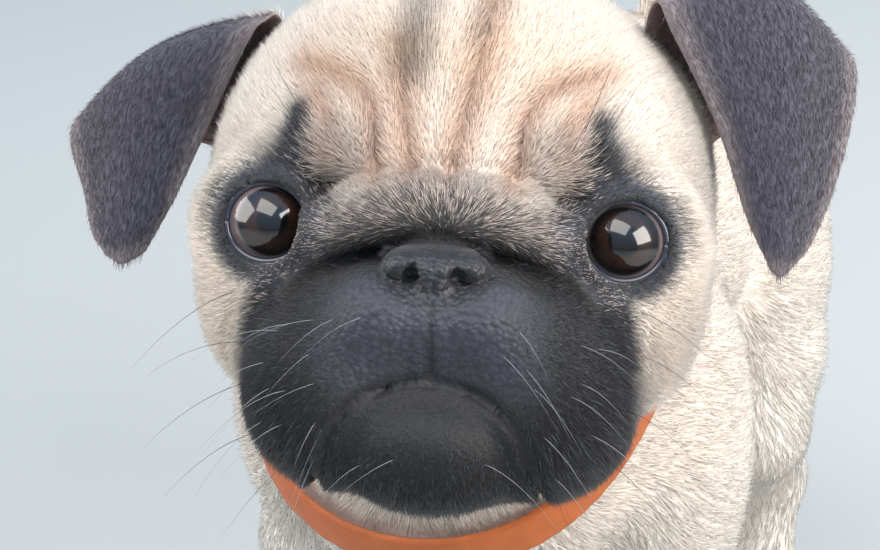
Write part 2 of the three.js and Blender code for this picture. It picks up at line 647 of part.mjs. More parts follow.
// Tail: a tapering curl over the rump
const TAIL_ROOT = [0, 103, 172];
const TAIL_CENTRE = [9, 99, 201];
const TAIL_RADIUS = [10, 6];
const CURL_RADIUS = [21, 12];
const CURL_TURNS = 1.1;
const CURL_DRIFT = 22;
const tailPoints = [new THREE.Vector3(...TAIL_ROOT)];
for (let i = 0; i <= 16; i++) {
  const share = i / 16;
  const turn = -Math.PI / 2 + 0.9 + 2 * Math.PI * CURL_TURNS * share;
  const reach = CURL_RADIUS[0] + (CURL_RADIUS[1] - CURL_RADIUS[0]) * share;
  tailPoints.push(
    new THREE.Vector3(
      TAIL_CENTRE[0] - 8 + CURL_DRIFT * share,
      TAIL_CENTRE[1] + reach * Math.cos(turn),
      TAIL_CENTRE[2] + reach * Math.sin(turn),
    ),
  );
}
const tailCurve = new THREE.CatmullRomCurve3(tailPoints);
const tailRadius = (share) => TAIL_RADIUS[0] + (TAIL_RADIUS[1] - TAIL_RADIUS[0]) * share;
const TAIL_STEPS = 30;
const TAIL_SIDES = 8;
const TAIL_SPLIT = 9;
const tailBase = sweep(tailCurve, tailRadius, TAIL_STEPS, 0, TAIL_SPLIT, TAIL_SIDES).subtract(bodySwollen);
const tailCurlRod = sweep(tailCurve, tailRadius, TAIL_STEPS, TAIL_SPLIT, TAIL_STEPS, TAIL_SIDES);
const tailCurl = tailCurlRod.subtract(bodySwollen);

// Legs: blocks of [x, z] outline part them from the chest and the rump
const FRONT_LINE = [[4, -20], [4, 66], [26, 88], [72, 132], [100, 132], [100, -20]];
const HIND_LINE = [[4, -20], [4, 72], [15, 88], [70, 178], [100, 178], [100, -20]];
const FRONT_REACH = [-130, 6];
const HIND_REACH = [36, 140];
function legBlock(line, reach, sign, grow) {
  const outline = line.map(([x, z]) => [sign * (x - (x < 90 ? grow : 0)), z + (z > 0 ? grow : 0)]);
  return block(sign > 0 ? outline : outline.reverse(), reach[0] - grow, reach[1] + grow);
}
const torso = beyond(bodySolid, NECK_BASE.at, NECK_BASE.normal, BIG, BIG);
const neck = without(
  beyond(bodySolid, NAPE.at, NAPE.normal, BIG, BIG),
  NECK_BASE.at,
  NECK_BASE.normal,
  BIG,
  BIG,
);
let trunk = torso;
const legs = {};
const mirror = new THREE.Matrix4().makeScale(-1, 1, 1);
const floor = slab([0, 0, 0], [0, 0, -1], BIG, BIG, BIG, BIG / 2);
const DOWN = [0, 0, -1];
const ELBOW = { at: [LEG_SPREAD, -42, 80], normal: DOWN };
const STIFLE = { at: [LEG_SPREAD, 60, 78], normal: [0, 0.5, -0.87] };

function withClaws(mesh, paw, top, sign) {
  let solid = solidOfMesh(mesh).subtract(floor);
  solid = without(solid, [0, 0, top], [0, 0, 1], BIG, BIG);
  for (const [side, forward] of TOES) {
    const claw = new THREE.ConeGeometry(CLAW_RADIUS, CLAW_LENGTH, 6);
    const matrix = new THREE.Matrix4()
      .makeTranslation(paw.at[0] + side, paw.at[1] + forward - 9, TOE_HEIGHT - 1.3)
      .multiply(new THREE.Matrix4().makeRotationX(degrees(200)));
    solid = solid.add(solidOf(claw, matrix));
  }
  solid = largest(solid);
  return sign > 0 ? solid : solid.mirror([1, 0, 0]);
}

for (const [name, sign] of [["left", 1], ["right", -1]]) {
  const front = torso.intersect(legBlock(FRONT_LINE, FRONT_REACH, sign, 0));
  const hind = torso.intersect(legBlock(HIND_LINE, HIND_REACH, sign, 0));
  trunk = trunk.subtract(legBlock(FRONT_LINE, FRONT_REACH, sign, GAP));
  trunk = trunk.subtract(legBlock(HIND_LINE, HIND_REACH, sign, GAP));
  const cut = (solid, plane) => [
    without(solid, plane.at, plane.normal, BIG, BIG),
    beyond(solid, plane.at, plane.normal, BIG, BIG),
  ];
  const [upperArm, lower] = cut(front, ELBOW);
  const [thigh, shank] = cut(hind, STIFLE);
  legs[`front_${name}_upper`] = upperArm;
  legs[`front_${name}_forearm`] = without(lower, [0, 0, FRONT_PAW_TOP], DOWN, BIG, BIG);
  legs[`front_${name}_paw`] = withClaws(frontPawMesh, FRONT_PAW, FRONT_PAW_TOP, sign);
  legs[`hind_${name}_thigh`] = thigh;
  legs[`hind_${name}_shank`] = without(shank, [0, 0, HIND_PAW_TOP], DOWN, BIG, BIG);
  legs[`hind_${name}_paw`] = withClaws(hindPawMesh, HIND_PAW, HIND_PAW_TOP, sign);
}

// Collar: a flat band of even width laid round the base of the neck, low in front and high behind
const COLLAR = { at: [5, -76, 160.5], normal: new THREE.Vector3(-0.08, -0.78, 0.62).normalize() };
const COLLAR_WIDTH = 8;
const COLLAR_THICKNESS = 2;
const COLLAR_STEPS = 40;
function collarBand() {
  const up = COLLAR.normal;
  const forward = new THREE.Vector3(0, -1, 0).addScaledVector(up, up.y).normalize();
  const across = new THREE.Vector3().crossVectors(forward, up);
  const centre = new THREE.Vector3(...COLLAR.at);
  const rows = [];
  for (let s = 0; s < COLLAR_STEPS; s++) {
    const turn = (2 * Math.PI * s) / COLLAR_STEPS;
    const out = forward.clone().multiplyScalar(Math.cos(turn)).addScaledVector(across, Math.sin(turn));
    const [top, bottom] = [1, -1].map((end) => {
      const start = centre.clone().addScaledVector(up, (end * COLLAR_WIDTH) / 2);
      let reach = 20;
      while (skinDistance(start.clone().addScaledVector(out, reach).toArray()) < GAP + 0.3) reach += 0.25;
      return { start, reach };
    });
    const point = ({ start, reach }, extra) => start.clone().addScaledVector(out, reach + extra).toArray();
    rows.push([
      point(bottom, 0),
      point(bottom, COLLAR_THICKNESS),
      point(top, COLLAR_THICKNESS),
      point(top, 0),
    ]);
  }
  const n = 4;
  const faces = [];
  rows.forEach((_, s) => {
    const next = ((s + 1) % COLLAR_STEPS) * n;
    for (let i = 0; i < n; i++) {
      const j = (i + 1) % n;
      faces.push([s * n + i, next + i, next + j], [s * n + i, next + j, s * n + j]);
    }
  });
  const mesh = { points: rows.flat(), faces };
  return largest(outward(solidOfMesh(mesh), mesh).subtract(bodySwollen).subtract(headSwollen));
}

// Colours as they show in soft light
const CREAM = { color: 0xdccbb4, roughness: 0.85, metalness: 0 };
const MASK = { color: 0x2c2c31, roughness: 0.75, metalness: 0 };
const LEATHER_BLACK = { color: 0x1c1c20, roughness: 0.45, metalness: 0 };
const EYE_DARK = { color: 0x120c0a, roughness: 0.05, metalness: 0 };
const ORANGE = { color: 0xd8662a, roughness: 0.6, metalness: 0 };

const group = new THREE.Group();
const place = new THREE.Matrix4().makeTranslation(...PLACE);

function addNode(name, solid, look) {
  const { vertProperties, triVerts } = solid.getMesh();
  const geometry = new THREE.BufferGeometry();
  geometry.setAttribute("position", new THREE.BufferAttribute(vertProperties, 3));
  geometry.setIndex(new THREE.BufferAttribute(triVerts, 1));
  geometry.applyMatrix4(place);
  const node = new THREE.Mesh(geometry, new THREE.MeshStandardMaterial(look));
  node.name = name;
  group.add(node);
}

addNode("head", largest(head), MASK);
addNode("nose", largest(nose), LEATHER_BLACK);
addNode("lower_jaw", largest(lowerJaw), MASK);
addNode("ear_left", ear(LEFT_EAR, 1), MASK);
addNode("ear_right", ear(RIGHT_EAR, -1), MASK);
addNode("eye_left", eyeball(1, EYE_RADIUS, 3), EYE_DARK);
addNode("eye_right", eyeball(-1, EYE_RADIUS, 3), EYE_DARK);
addNode("neck", largest(neck), CREAM);
const trunkParts = [
  ["chest", without(trunk, WAIST.at, WAIST.normal, BIG, BIG)],
  ["loins", beyond(trunk, WAIST.at, WAIST.normal, BIG, BIG)],
];
for (const [name, solid] of trunkParts) addNode(name, largest(solid), CREAM);
for (const [name, solid] of Object.entries(legs)) addNode(name, largest(solid), CREAM);
addNode("tail_base", largest(tailBase), CREAM);
addNode("tail_curl", largest(tailCurl), CREAM);
addNode("collar", collarBand(), ORANGE);

export default group;
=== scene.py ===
# A live pug puppy, life-size: one skin over the whole body, a short coat of solid tufts on it, glossy eyes,
# claws, whiskers and a collar. Lengths are millimetres while shapes are made, and metres in the scene.
import math

import bpy
import numpy as np
from mathutils import Matrix, Vector


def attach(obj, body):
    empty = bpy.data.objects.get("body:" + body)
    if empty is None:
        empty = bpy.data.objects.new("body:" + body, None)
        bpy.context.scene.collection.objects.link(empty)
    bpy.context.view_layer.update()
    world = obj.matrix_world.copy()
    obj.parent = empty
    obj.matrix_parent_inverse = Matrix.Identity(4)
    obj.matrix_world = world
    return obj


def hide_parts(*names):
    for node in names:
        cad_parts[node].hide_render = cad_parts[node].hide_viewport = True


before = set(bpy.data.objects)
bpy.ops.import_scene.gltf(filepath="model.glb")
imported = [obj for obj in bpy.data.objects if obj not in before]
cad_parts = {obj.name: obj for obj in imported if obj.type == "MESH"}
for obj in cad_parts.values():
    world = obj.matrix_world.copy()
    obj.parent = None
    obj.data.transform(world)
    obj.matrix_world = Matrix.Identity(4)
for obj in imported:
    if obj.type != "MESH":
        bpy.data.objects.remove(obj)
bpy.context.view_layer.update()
rng = np.random.default_rng(7)

# Places shared with the solids, in millimetres
PLACE = np.array([-8.1, 25.4, 0])
HEAD_AT = np.array([23, -142.4, 223])
HEAD_YAW, HEAD_PITCH, HEAD_ROLL = 15, 22, 1.1
EYE_HALF_SPACING = 34.7
EYE_RADIUS = 9.8
HEAD_HALF_WIDTH = 53
CHEST_HALF_WIDTH = 57
LEG_SPREAD = 45
GAP = 0.3


def size(v):
    """The length of each row of v."""
    return np.sqrt((v * v).sum(-1))


def turn(axis, angle):
    c, s = math.cos(math.radians(angle)), math.sin(math.radians(angle))
    matrix = np.eye(3)
    i, j = [k for k in range(3) if k != axis]
    matrix[i, i], matrix[j, j] = c, c
    matrix[i, j], matrix[j, i] = (-s, s) if axis != 1 else (s, -s)
    return matrix


HEAD_TURN = turn(2, HEAD_YAW) @ turn(0, -HEAD_PITCH) @ turn(1, HEAD_ROLL)


def head_local(p):
    return (p - HEAD_AT) @ HEAD_TURN


def from_head(q):
    return np.asarray(q, float) @ HEAD_TURN.T + HEAD_AT


def mirrored(p):
    """The points with those of the right side moved to the left side."""
    m = p.copy()
    m[:, 0] = np.abs(m[:, 0])
    return m


# Distance functions, each for many points at once
def ellipsoid(p, at, radii):
    q = (p - at) / radii
    reach = size(q)
    return reach * (reach - 1) / np.maximum(size(q / radii), 1e-9)


def rod(p, a, b):
    a, b = np.asarray(a, float), np.asarray(b, float)
    way = b[:3] - a[:3]
    t = np.clip((p - a[:3]) @ way / (way @ way), 0, 1)
    return size(p - a[:3] - t[:, None] * way) - (a[3] + (b[3] - a[3]) * t)


def blend(a, b, k):
    h = np.maximum(k - np.abs(a - b), 0) / k
    return np.minimum(a, b) - h * h * k / 4


def carve(a, b, k):
    return -blend(-a, b, k)


def chain(p, points, k):
    d = rod(p, points[0], points[1])
    for a, b in zip(points[1:], points[2:]):
        d = blend(d, rod(p, a, b), k)
    return d


def stretches(q, path):
    """For each stretch of a path on the front view: its ends, and every point's share along and distance."""
    flat = q[:, [0, 2]]
    path = np.asarray(path, float)
    for a, b in zip(path, path[1:]):
        way = b[:2] - a[:2]
        t = np.clip((flat - a[:2]) @ way / (way @ way), 0, 1)
        yield a, b, t, size(flat - a[:2] - t[:, None] * way)


def crease(q, path):
    """How far a crease along a path of (x, z, depth, half width) points pushes the surface in."""
    push = np.zeros(len(q))
    for a, b, t, off in stretches(q, path):
        away = off / (a[3] + (b[3] - a[3]) * t)
        push = np.maximum(push, (a[2] + (b[2] - a[2]) * t) * np.maximum(1 - away, 0) ** 2)
    return push * np.clip((24 - q[:, 1]) / 12, 0, 1)


def smooth_line(points, count):
    """Rows of numbers along a smooth curve through the given ones."""
    c = np.asarray(points, float)
    ends = np.vstack([2 * c[0] - c[1], c, 2 * c[-1] - c[-2]])
    t = np.linspace(0, len(c) - 1, count)
    i = np.minimum(t.astype(int), len(c) - 2)
    f = (t - i)[:, None]
    p0, p1, p2, p3 = ends[i], ends[i + 1], ends[i + 2], ends[i + 3]
    a, b = 2 * p1, p2 - p0
    c2, c3 = 2 * p0 - 5 * p1 + 4 * p2 - p3, 3 * (p1 - p2) + p3 - p0
    return (a + b * f + c2 * f**2 + c3 * f**3) / 2


# Head forms, in the head frame. Those of a pair are given for the puppy's left side.
CRANIUM = ((0, 46, 10), (HEAD_HALF_WIDTH, 48, 46))
FOREHEAD = ((0, 26, 22), (38, 26, 25))
CHEEK = ((27, 28, -13), (25, 30, 27))
MUZZLE = ((0.8, 8, -26), (36, 24, 25))
LIP_PAD = ((9, -8.6, -16.6), (12, 13.3, 10.5))
LIP_MIDDLE = ((0, -8.6, -17), (9, 12.8, 10))
FLEW = ((20.6, -2, -31), (17.4, 18.5, 19.2))
LIP_SHIFT = 1
CHIN = ((0, -5, -40), (19.5, 17, 13.5))
JAW = ((0, 16, -36), (30, 28, 17))
BROW = ((21, 5, 17), (10, 8, 8))
ORBIT = ((35.5, 14, 0), (16, 13, 14.5))
EYE_AT = np.array([EYE_HALF_SPACING, 9.5, 0])
LID_THICKNESS = 1.6
EYE_OPENING = ((EYE_HALF_SPACING + 0.2, 0, -0.1), (7.9, 12, 7.6))
EYE_CORNER = ((27.4, 2.6, -1), (2.4, 3.2, 1.7))
BROW_PIT = ((21.5, -2, 7.5), (5.5, 5, 2.6))
NOSE = ((0, -10, -7), (10.3, 9.5, 6))
NOSE_WING = ((6.4, -13.6, -6.2), (4.2, 5.2, 3.8))
NOSE_BRIDGE = ((0, -13.4, -8.5), (3.6, 6.4, 5.6))
NOSTRIL = ((4.6, -19.5, -8.4, 1.7), (4, -12, -6, 0.9))
NOSE_ROLL = (
    (0, -8.6, 5.3, 6.6),
    (10, -8, 4.4, 6.6),
    (18, -5, 2, 6.4),
    (27, 0, -3.4, 6),
    (33.5, 4, -10.5, 5.2),
    (37, 9, -19, 4.2),
)
NOSE_ROLL = smooth_line(NOSE_ROLL, 13)
# Folds of the forehead, as x, z, depth and half width, each for both sides or for one
BROW_FOLD = [(12.4, 10, 0.8, 3), (13.6, 15, 1.3, 3.4), (14.6, 22, 1.4, 3.6), (19.5, 27.5, 1.2, 3.6)]
BROW_FOLD += [(28, 30, 0.4, 3)]
FOREHEAD_FOLDS = [
    (True, BROW_FOLD),
    (False, [(1, 9, 1, 3), (2.2, 17, 1.3, 3.2), (4.4, 28, 1.2, 3.4), (6, 38, 0.9, 3.4), (7.5, 48, 0.3, 3)]),
    (False, [(-5.6, 9, 0.8, 2.6), (-7.6, 18, 1.1, 3), (-9, 26, 0.9, 3), (-9.4, 34, 0.3, 2.6)]),
    (True, [(22, 14, 0.3, 2.6), (22.5, 19, 0.8, 2.8), (25, 24, 0.3, 2.6)]),
]
FOREHEAD_FOLDS = [(paired, smooth_line(path, 9)) for paired, path in FOREHEAD_FOLDS]
# Creases, as x, z, depth and half width
MOUTH = (
    (0, -27, 1.8, 2),
    (6, -28.2, 2, 2),
    (12, -30.8, 2.4, 2.2),
    (17, -35.4, 2.6, 2.4),
    (20, -41.5, 2.8, 2.6),
    (21.4, -49.5, 1.2, 2.6),
    (22, -54, 0.1, 2.4),
)
MOUTH = smooth_line(MOUTH, 15)
PHILTRUM = ((0, -2, 0.9, 1), (0, -14, 1.3, 1.5), (0, -22, 1.8, 1.9), (0, -27.5, 2, 2.2))
NOSE_SLIT = ((4.4, -8.6, 2.2, 1.6), (7, -9, 1.6, 1.2), (10.4, -7.6, 0.8, 0.8))
NOSE_UPPER_SLIT = ((4.4, -8.6, 1.6, 1.4), (3.8, -5, 0.8, 0.9), (4.2, -3, 0.2, 0.6))
OUTER_CREASE = smooth_line(((13.8, 13, 0.8, 2.5), (15, 24, 1.6, 4), (20, 29.5, 1.3, 4), (27, 31, 0.3, 3)), 9)
LEFT_CREASE = smooth_line(((1.3, 13, 0.6, 2.5), (3, 25, 1.4, 3.6), (5.4, 36, 1.1, 3.6), (6.4, 46, 0.2, 3)), 9)
RIGHT_CREASE = smooth_line(((-6.4, 14, 0.6, 2.5), (-8.4, 22, 1.2, 3.4), (-9.6, 29, 0.3, 3)), 9)
CHEEK_CREASE = smooth_line(((37.5, -13, 0.3, 4), (42.5, -23, 1.2, 5.5), (41.5, -36, 0.3, 5)), 9)


def head_distance(q):
    m = mirrored(q)
    d = ellipsoid(q, *CRANIUM)
    d = blend(d, ellipsoid(m, *CHEEK), 14)
    for form, softness in ((FOREHEAD, 12), (JAW, 12), (MUZZLE, 10)):
        d = blend(d, ellipsoid(q, *form), softness)
    for form, softness in ((ORBIT, 7), (BROW, 5)):
        d = blend(d, ellipsoid(m, *form), softness)
    hanging = mirrored(q - (LIP_SHIFT, 0, 0))
    lips = blend(ellipsoid(m, *LIP_PAD), ellipsoid(hanging, *FLEW), 7)
    lips = blend(lips, ellipsoid(q, *LIP_MIDDLE), 2)
    d = blend(d, lips, 5)
    d = blend(d, ellipsoid(q, *CHIN), 2.5)
    nose = blend(ellipsoid(q, *NOSE), ellipsoid(m, *NOSE_WING), 1.5)
    nose = blend(nose, ellipsoid(q, *NOSE_BRIDGE), 1.5)
    d = blend(d, nose, 1.6)
    d = blend(d, chain(m, NOSE_ROLL, 0.6), 2.6)
    d = carve(d, ellipsoid(m, *BROW_PIT), 3)
    near = (q[:, 1] < 24) & (m[:, 0] < 50)
    for path in (OUTER_CREASE, CHEEK_CREASE, MOUTH, PHILTRUM, NOSE_SLIT, NOSE_UPPER_SLIT):
        d[near] += crease(m[near], path)
    for path in (LEFT_CREASE, RIGHT_CREASE):
        d[near] += crease(q[near], path)
    d = carve(d, rod(m, *NOSTRIL), 0.7)
    d = blend(d, size(m - EYE_AT) - EYE_RADIUS - LID_THICKNESS, 3)
    d = carve(d, ellipsoid(m, *EYE_OPENING), 1.2)
    return carve(d, ellipsoid(m, *EYE_CORNER), 1)


# Body forms, in the puppy's own frame
CHEST = ((0, -36, 140), (CHEST_HALF_WIDTH, 58, 54))
WITHERS = ((0, -34, 172), (32, 42, 27))
FORECHEST = ((0, -76, 132), (39, 24, 37))
LOIN = ((0, 32, 147), (47, 62, 45))
RUMP = ((0, 76, 152), (47, 38, 43))
SHOULDER = ((45, -46, 132), (21, 30, 42))
THIGH = ((40, 78, 120), (21, 35, 44))
NECK = ((0, -62, 158, 46), (9, -92, 196, 42), (16, -103, 212, 38))
FRONT_LEG = (
    (LEG_SPREAD, -44, 118, 19),
    (LEG_SPREAD + 1, -42, 84, 16.5),
    (LEG_SPREAD, -49, 40, 12.2),
    (LEG_SPREAD, -53, 20, 12),
)
HIND_LEG = (
    (LEG_SPREAD - 1, 66, 100, 20),
    (LEG_SPREAD, 58, 82, 15.5),
    (LEG_SPREAD - 1, 92, 48, 10.5),
    (LEG_SPREAD - 1, 90, 20, 10.2),
)
FRONT_PAW = ((LEG_SPREAD, -57, 12), (14.5, 17, 12.5))
HIND_PAW = ((LEG_SPREAD - 1, 82, 11), (13, 18, 11.5))
# Toes: sideways place, how far forward of the paw's middle, and radius
TOES = ((-9.2, -8, 5.8), (-3.4, -14, 6.2), (3.4, -14, 6.2), (9.2, -8, 5.8))
TOE_HEIGHT = 6.6


def paw_distance(m, paw):
    d = ellipsoid(m, *paw)
    for side, forward, radius in TOES:
        at = (paw[0][0] + side, paw[0][1] + forward, TOE_HEIGHT)
        d = blend(d, ellipsoid(m, at, (radius * 0.86, radius * 1.45, radius * 1.15)), 1.6)
    return d


def body_distance(p):
    m = mirrored(p)
    d = ellipsoid(p, *CHEST)
    for form, softness in ((LOIN, 20), (RUMP, 16), (WITHERS, 16), (FORECHEST, 16)):
        d = blend(d, ellipsoid(p, *form), softness)
    d = blend(d, chain(p, NECK, 10), 18)
    for form in (SHOULDER, THIGH):
        d = blend(d, ellipsoid(m, *form), 10)
    low = p[:, 2] < 140
    if low.any():
        legs = m[low]
        part = blend(d[low], chain(legs, FRONT_LEG, 8), 8)
        part = blend(part, chain(legs, HIND_LEG, 8), 8)
        part = blend(part, paw_distance(legs, FRONT_PAW), 6)
        d[low] = blend(part, paw_distance(legs, HIND_PAW), 6)
    return d


# Tail: a tapering curl over the rump
TAIL_ROOT = (0, 103, 172)
TAIL_CENTRE = (9, 99, 201)
TAIL_RADIUS = (10, 6)
CURL_RADIUS = (21, 12)
CURL_START = 0.9 - math.pi / 2
CURL_TURNS = 1.1
CURL_DRIFT = 22


def tail_points():
    points = [TAIL_ROOT]
    x, y, z = TAIL_CENTRE
    for share in np.arange(17) / 16:
        angle = CURL_START + 2 * math.pi * CURL_TURNS * share
        reach = CURL_RADIUS[0] + (CURL_RADIUS[1] - CURL_RADIUS[0]) * share
        points.append((x - 8 + CURL_DRIFT * share, y + reach * math.cos(angle), z + reach * math.sin(angle)))
    return smooth_line(points, 48)


TAIL_LINE = tail_points()
TAIL_WIDTHS = np.linspace(TAIL_RADIUS[0], TAIL_RADIUS[1], len(TAIL_LINE))
TAIL_RODS = np.column_stack([TAIL_LINE, TAIL_WIDTHS])
HEAD_REACH = 95


def solid_distance(p):
    d = body_distance(p)
    q = head_local(p)
    near = size(q - (0, CRANIUM[0][1], 0)) < HEAD_REACH
    if near.any():
        d[near] = blend(d[near], head_distance(q[near]), 14)
    tail = (p[:, 1] > 60) & (p[:, 2] > 150)
    if tail.any():
        d[tail] = blend(d[tail], chain(p[tail], TAIL_RODS, 0.5), 4)
    return d


def ramp(value, low, high):
    """0 up to low, 1 from high on, and a smooth rise between them."""
    t = np.clip((value - low) / (high - low), 0, 1)
    return t * t * (3 - 2 * t)


def between(a, b, share):
    return a * (1 - share) + b * share


def face_away(q):
    """Distance from the middle of the face."""
    return size((q + (0, 0, 12)) * (1, 0.9, 1))


def head_away(q):
    """Distance from the middle of the head."""
    return size(q - (0, 30, -5))


def near_tail(p, lowest):
    return (size((p - TAIL_CENTRE) * (0.5**0.5, 1, 1)) < 40) & (p[:, 2] > lowest)


def coat_depth(p):
    """How deep the skin lies under the coat's outer surface."""
    q = head_local(p)
    face = 1 - ramp(face_away(q), 34, 60)
    legs = 1 - ramp(p[:, 2], 50, 110)
    feet = 1 - ramp(p[:, 2], 10, 34)
    body = 2 - 0.9 * legs - 0.6 * feet
    head = 1.1 - 0.8 * face
    neck = ramp(head_away(q), 58, 80)
    return np.where(p[:, 2] < 4, 0.1, between(head, body, neck))


def skin_distance(p):
    d = solid_distance(p) + coat_depth(p)
    q = head_local(p)
    near = (np.abs(q[:, 0]) < 40) & (q[:, 2] > 4) & (q[:, 1] < 30)
    q = q[near]
    m = mirrored(q)
    for paired, path in FOREHEAD_FOLDS:
        d[near] += crease(m if paired else q, path)
    return d


def gradient(distance, p, e=0.05):
    g = np.empty_like(p)
    for k in range(3):
        step = np.zeros(3)
        step[k] = e
        g[:, k] = distance(p + step) - distance(p - step)
    steep = size(g)
    return g / np.maximum(steep, 1e-9)[:, None], steep / (2 * e)


def project(distance, p, reach, rounds=3):
    for _ in range(rounds):
        normal, slope = gradient(distance, p)
        move = np.clip(distance(p) / np.maximum(slope, 0.4), -reach, reach)
        p = p - normal * move[:, None]
    return p


# Surface nets: one point in each grid cell that the surface crosses, a quad across each crossed grid edge
CORNERS = np.array([(i, j, k) for i in (0, 1) for j in (0, 1) for k in (0, 1)])
CELL_EDGES = [(a, b) for a in range(8) for b in range(a + 1, 8) if abs(CORNERS[a] - CORNERS[b]).sum() == 1]


def surface_of(distance, low, high, step):
    axes = [np.arange(l, h + step, step) for l, h in zip(low, high)]
    grid = np.stack(np.meshgrid(*axes, indexing="ij"), -1).reshape(-1, 3)
    values = np.concatenate([distance(part) for part in np.array_split(grid, 12)])
    values = values.reshape([len(a) for a in axes])
    inside = values < 0
    shifts = [tuple(slice(c, n - 1 + c) for c, n in zip(o, inside.shape)) for o in CORNERS]
    corner_in = np.stack([inside[shift] for shift in shifts], -1)
    active = np.argwhere(corner_in.any(-1) & ~corner_in.all(-1))
    v = np.stack([values[tuple((active + o).T)] for o in CORNERS], -1)
    total, count = np.zeros((len(active), 3)), np.zeros(len(active))
    for a, b in CELL_EDGES:
        crossed = (v[:, a] < 0) != (v[:, b] < 0)
        t = np.where(crossed, v[:, a] / np.where(crossed, v[:, a] - v[:, b], 1), 0)
        total += np.where(crossed[:, None], CORNERS[a] + t[:, None] * (CORNERS[b] - CORNERS[a]), 0)
        count += crossed
    points = np.array(low) + (active + total / count[:, None]) * step
    number = np.full(np.array(inside.shape) - 1, -1)
    number[tuple(active.T)] = np.arange(len(active))
    faces = []
    for axis in range(3):
        u, w = (axis + 1) % 3, (axis + 2) % 3
        ahead = np.roll(inside, -1, axis)
        edge = np.argwhere(inside != ahead)
        edge = edge[(edge[:, axis] < inside.shape[axis] - 1) & (edge[:, u] > 0) & (edge[:, w] > 0)]
        edge = edge[(edge[:, u] < inside.shape[u] - 1) & (edge[:, w] < inside.shape[w] - 1)]
        quad = []
        for du, dw in ((1, 1), (0, 1), (0, 0), (1, 0)):
            cell = edge.copy()
            cell[:, u] -= du
            cell[:, w] -= dw
            quad.append(number[tuple(cell.T)])
        quad = np.stack(quad, 1)
        out = ~inside[tuple(edge.T)]
        quad[out] = quad[out][:, ::-1]
        faces += [quad[:, [0, 1, 2]], quad[:, [0, 2, 3]]]
    return points, np.concatenate(faces)


def refine(points, faces, finer, distance, reach):
    """Splits the edges whose middle finer() picks, with their neighbours split to match."""
    edges = np.sort(faces[:, [0, 1, 1, 2, 2, 0]].reshape(-1, 2), 1)
    unique, index = np.unique(edges, axis=0, return_inverse=True)
    index = index.reshape(-1, 3)
    middles = points[unique].mean(1)
    marked = finer(middles)
    while True:
        count = marked[index].sum(1)
        extra = index[count == 2]
        if not len(extra):
            break
        marked[extra[~marked[extra]]] = True
    new = project(distance, middles[marked], reach)
    number = np.full(len(unique), -1)
    number[marked] = len(points) + np.arange(marked.sum())
    points = np.vstack([points, new])
    m = number[index]
    count = (m >= 0).sum(1)
    whole, full, single = faces[count == 0], count == 3, count == 1
    f, n = faces[full], m[full]
    quarters = (
        (f[:, 0], n[:, 0], n[:, 2]),
        (n[:, 0], f[:, 1], n[:, 1]),
        (n[:, 2], n[:, 1], f[:, 2]),
        (n[:, 0], n[:, 1], n[:, 2]),
    )
    parts = [whole] + [np.stack(quarter, 1) for quarter in quarters]
    f, n = faces[single], m[single]
    at = (n >= 0).argmax(1)
    rows = np.arange(len(f))
    a, b, c, middle = f[rows, at], f[rows, (at + 1) % 3], f[rows, (at + 2) % 3], n[rows, at]
    parts += [np.stack([a, middle, c], 1), np.stack([middle, b, c], 1)]
    return points, np.concatenate(parts)


def relax(points, faces, share, distance, reach):
    sums = np.zeros_like(points)
    count = np.bincount(faces.ravel(), minlength=len(points)) * 2
    for a, b in ((0, 1), (1, 2), (2, 0)):
        for s, e in ((a, b), (b, a)):
            for k in range(3):
                sums[:, k] += np.bincount(faces[:, e], points[faces[:, s], k], len(points))
    moved = points + (sums / np.maximum(count, 1)[:, None] - points) * share
    return project(distance, moved, reach, 2)


def in_face(p, limit, depth):
    x, y, z = head_local(p).T
    return (np.abs(x) < limit) & (y > -40) & (y < depth) & (np.abs(z + 5) < limit + 4)


SKIN_LOW, SKIN_HIGH, SKIN_STEP = (-72, -188, -6), (82, 150, 278), 3.2
SKIN_CLEARANCE = 0.02  # over the floor


def make_skin():
    """The skin's points and triangles, made finer twice: on the head and the paws, then on the face."""
    points, faces = surface_of(skin_distance, SKIN_LOW, SKIN_HIGH, SKIN_STEP)
    points = project(skin_distance, points, 2)
    points = relax(points, faces, 0.5, skin_distance, 2)
    points, faces = refine(points, faces, lambda p: in_face(p, 56, 60) | (p[:, 2] < 26), skin_distance, 1)
    points = relax(points, faces, 0.5, skin_distance, 1)
    points, faces = refine(points, faces, lambda p: in_face(p, 46, 22), skin_distance, 0.6)
    points = relax(points, faces, 0.4, skin_distance, 0.6)
    points[:, 2] = np.maximum(points[:, 2], SKIN_CLEARANCE)
    return points, faces


# Markings, with painted shade in the creases and under the fold over the nose, and a painted sheen on the
# upper lips
def srgb(r, g, b):
    c = np.array([r, g, b], float) / 255
    return np.where(c < 0.04045, c / 12.92, ((c + 0.055) / 1.055) ** 2.4)


CREAM = srgb(250, 238, 224)
WHITE = srgb(247, 241, 233)
FAWN = srgb(216, 180, 146)
BLACK = srgb(10, 10, 12)
SLATE = srgb(22, 22, 26)
EAR_BLACK = srgb(70, 68, 80)
EAR_EDGE = srgb(150, 138, 136)
SILVER = srgb(190, 176, 166)
FOLD_BROWN_AND_SHADE = srgb(184, 116, 66)
LEATHER = srgb(26, 27, 33)
LIP_SHEEN = srgb(43, 45, 55)
EYE_GREY = srgb(52, 55, 66)
HORN = srgb(30, 26, 25)
LID = srgb(44, 46, 58)
ORANGE = srgb(190, 98, 42)
EAR_INSIDE = srgb(170, 130, 118)
GREY_HAIR = srgb(92, 95, 108)
WHISKER_PALE, WHISKER_DARK = srgb(138, 138, 144), srgb(18, 17, 18)
PUPIL_BLACK = srgb(7, 6, 8)
IRIS_DARK, IRIS_LIGHT, IRIS_EDGE = srgb(34, 21, 16), srgb(58, 38, 27), srgb(16, 11, 10)
LIMBUS_BLACK = srgb(14, 12, 14)
EYE_WHITE = srgb(104, 90, 90)


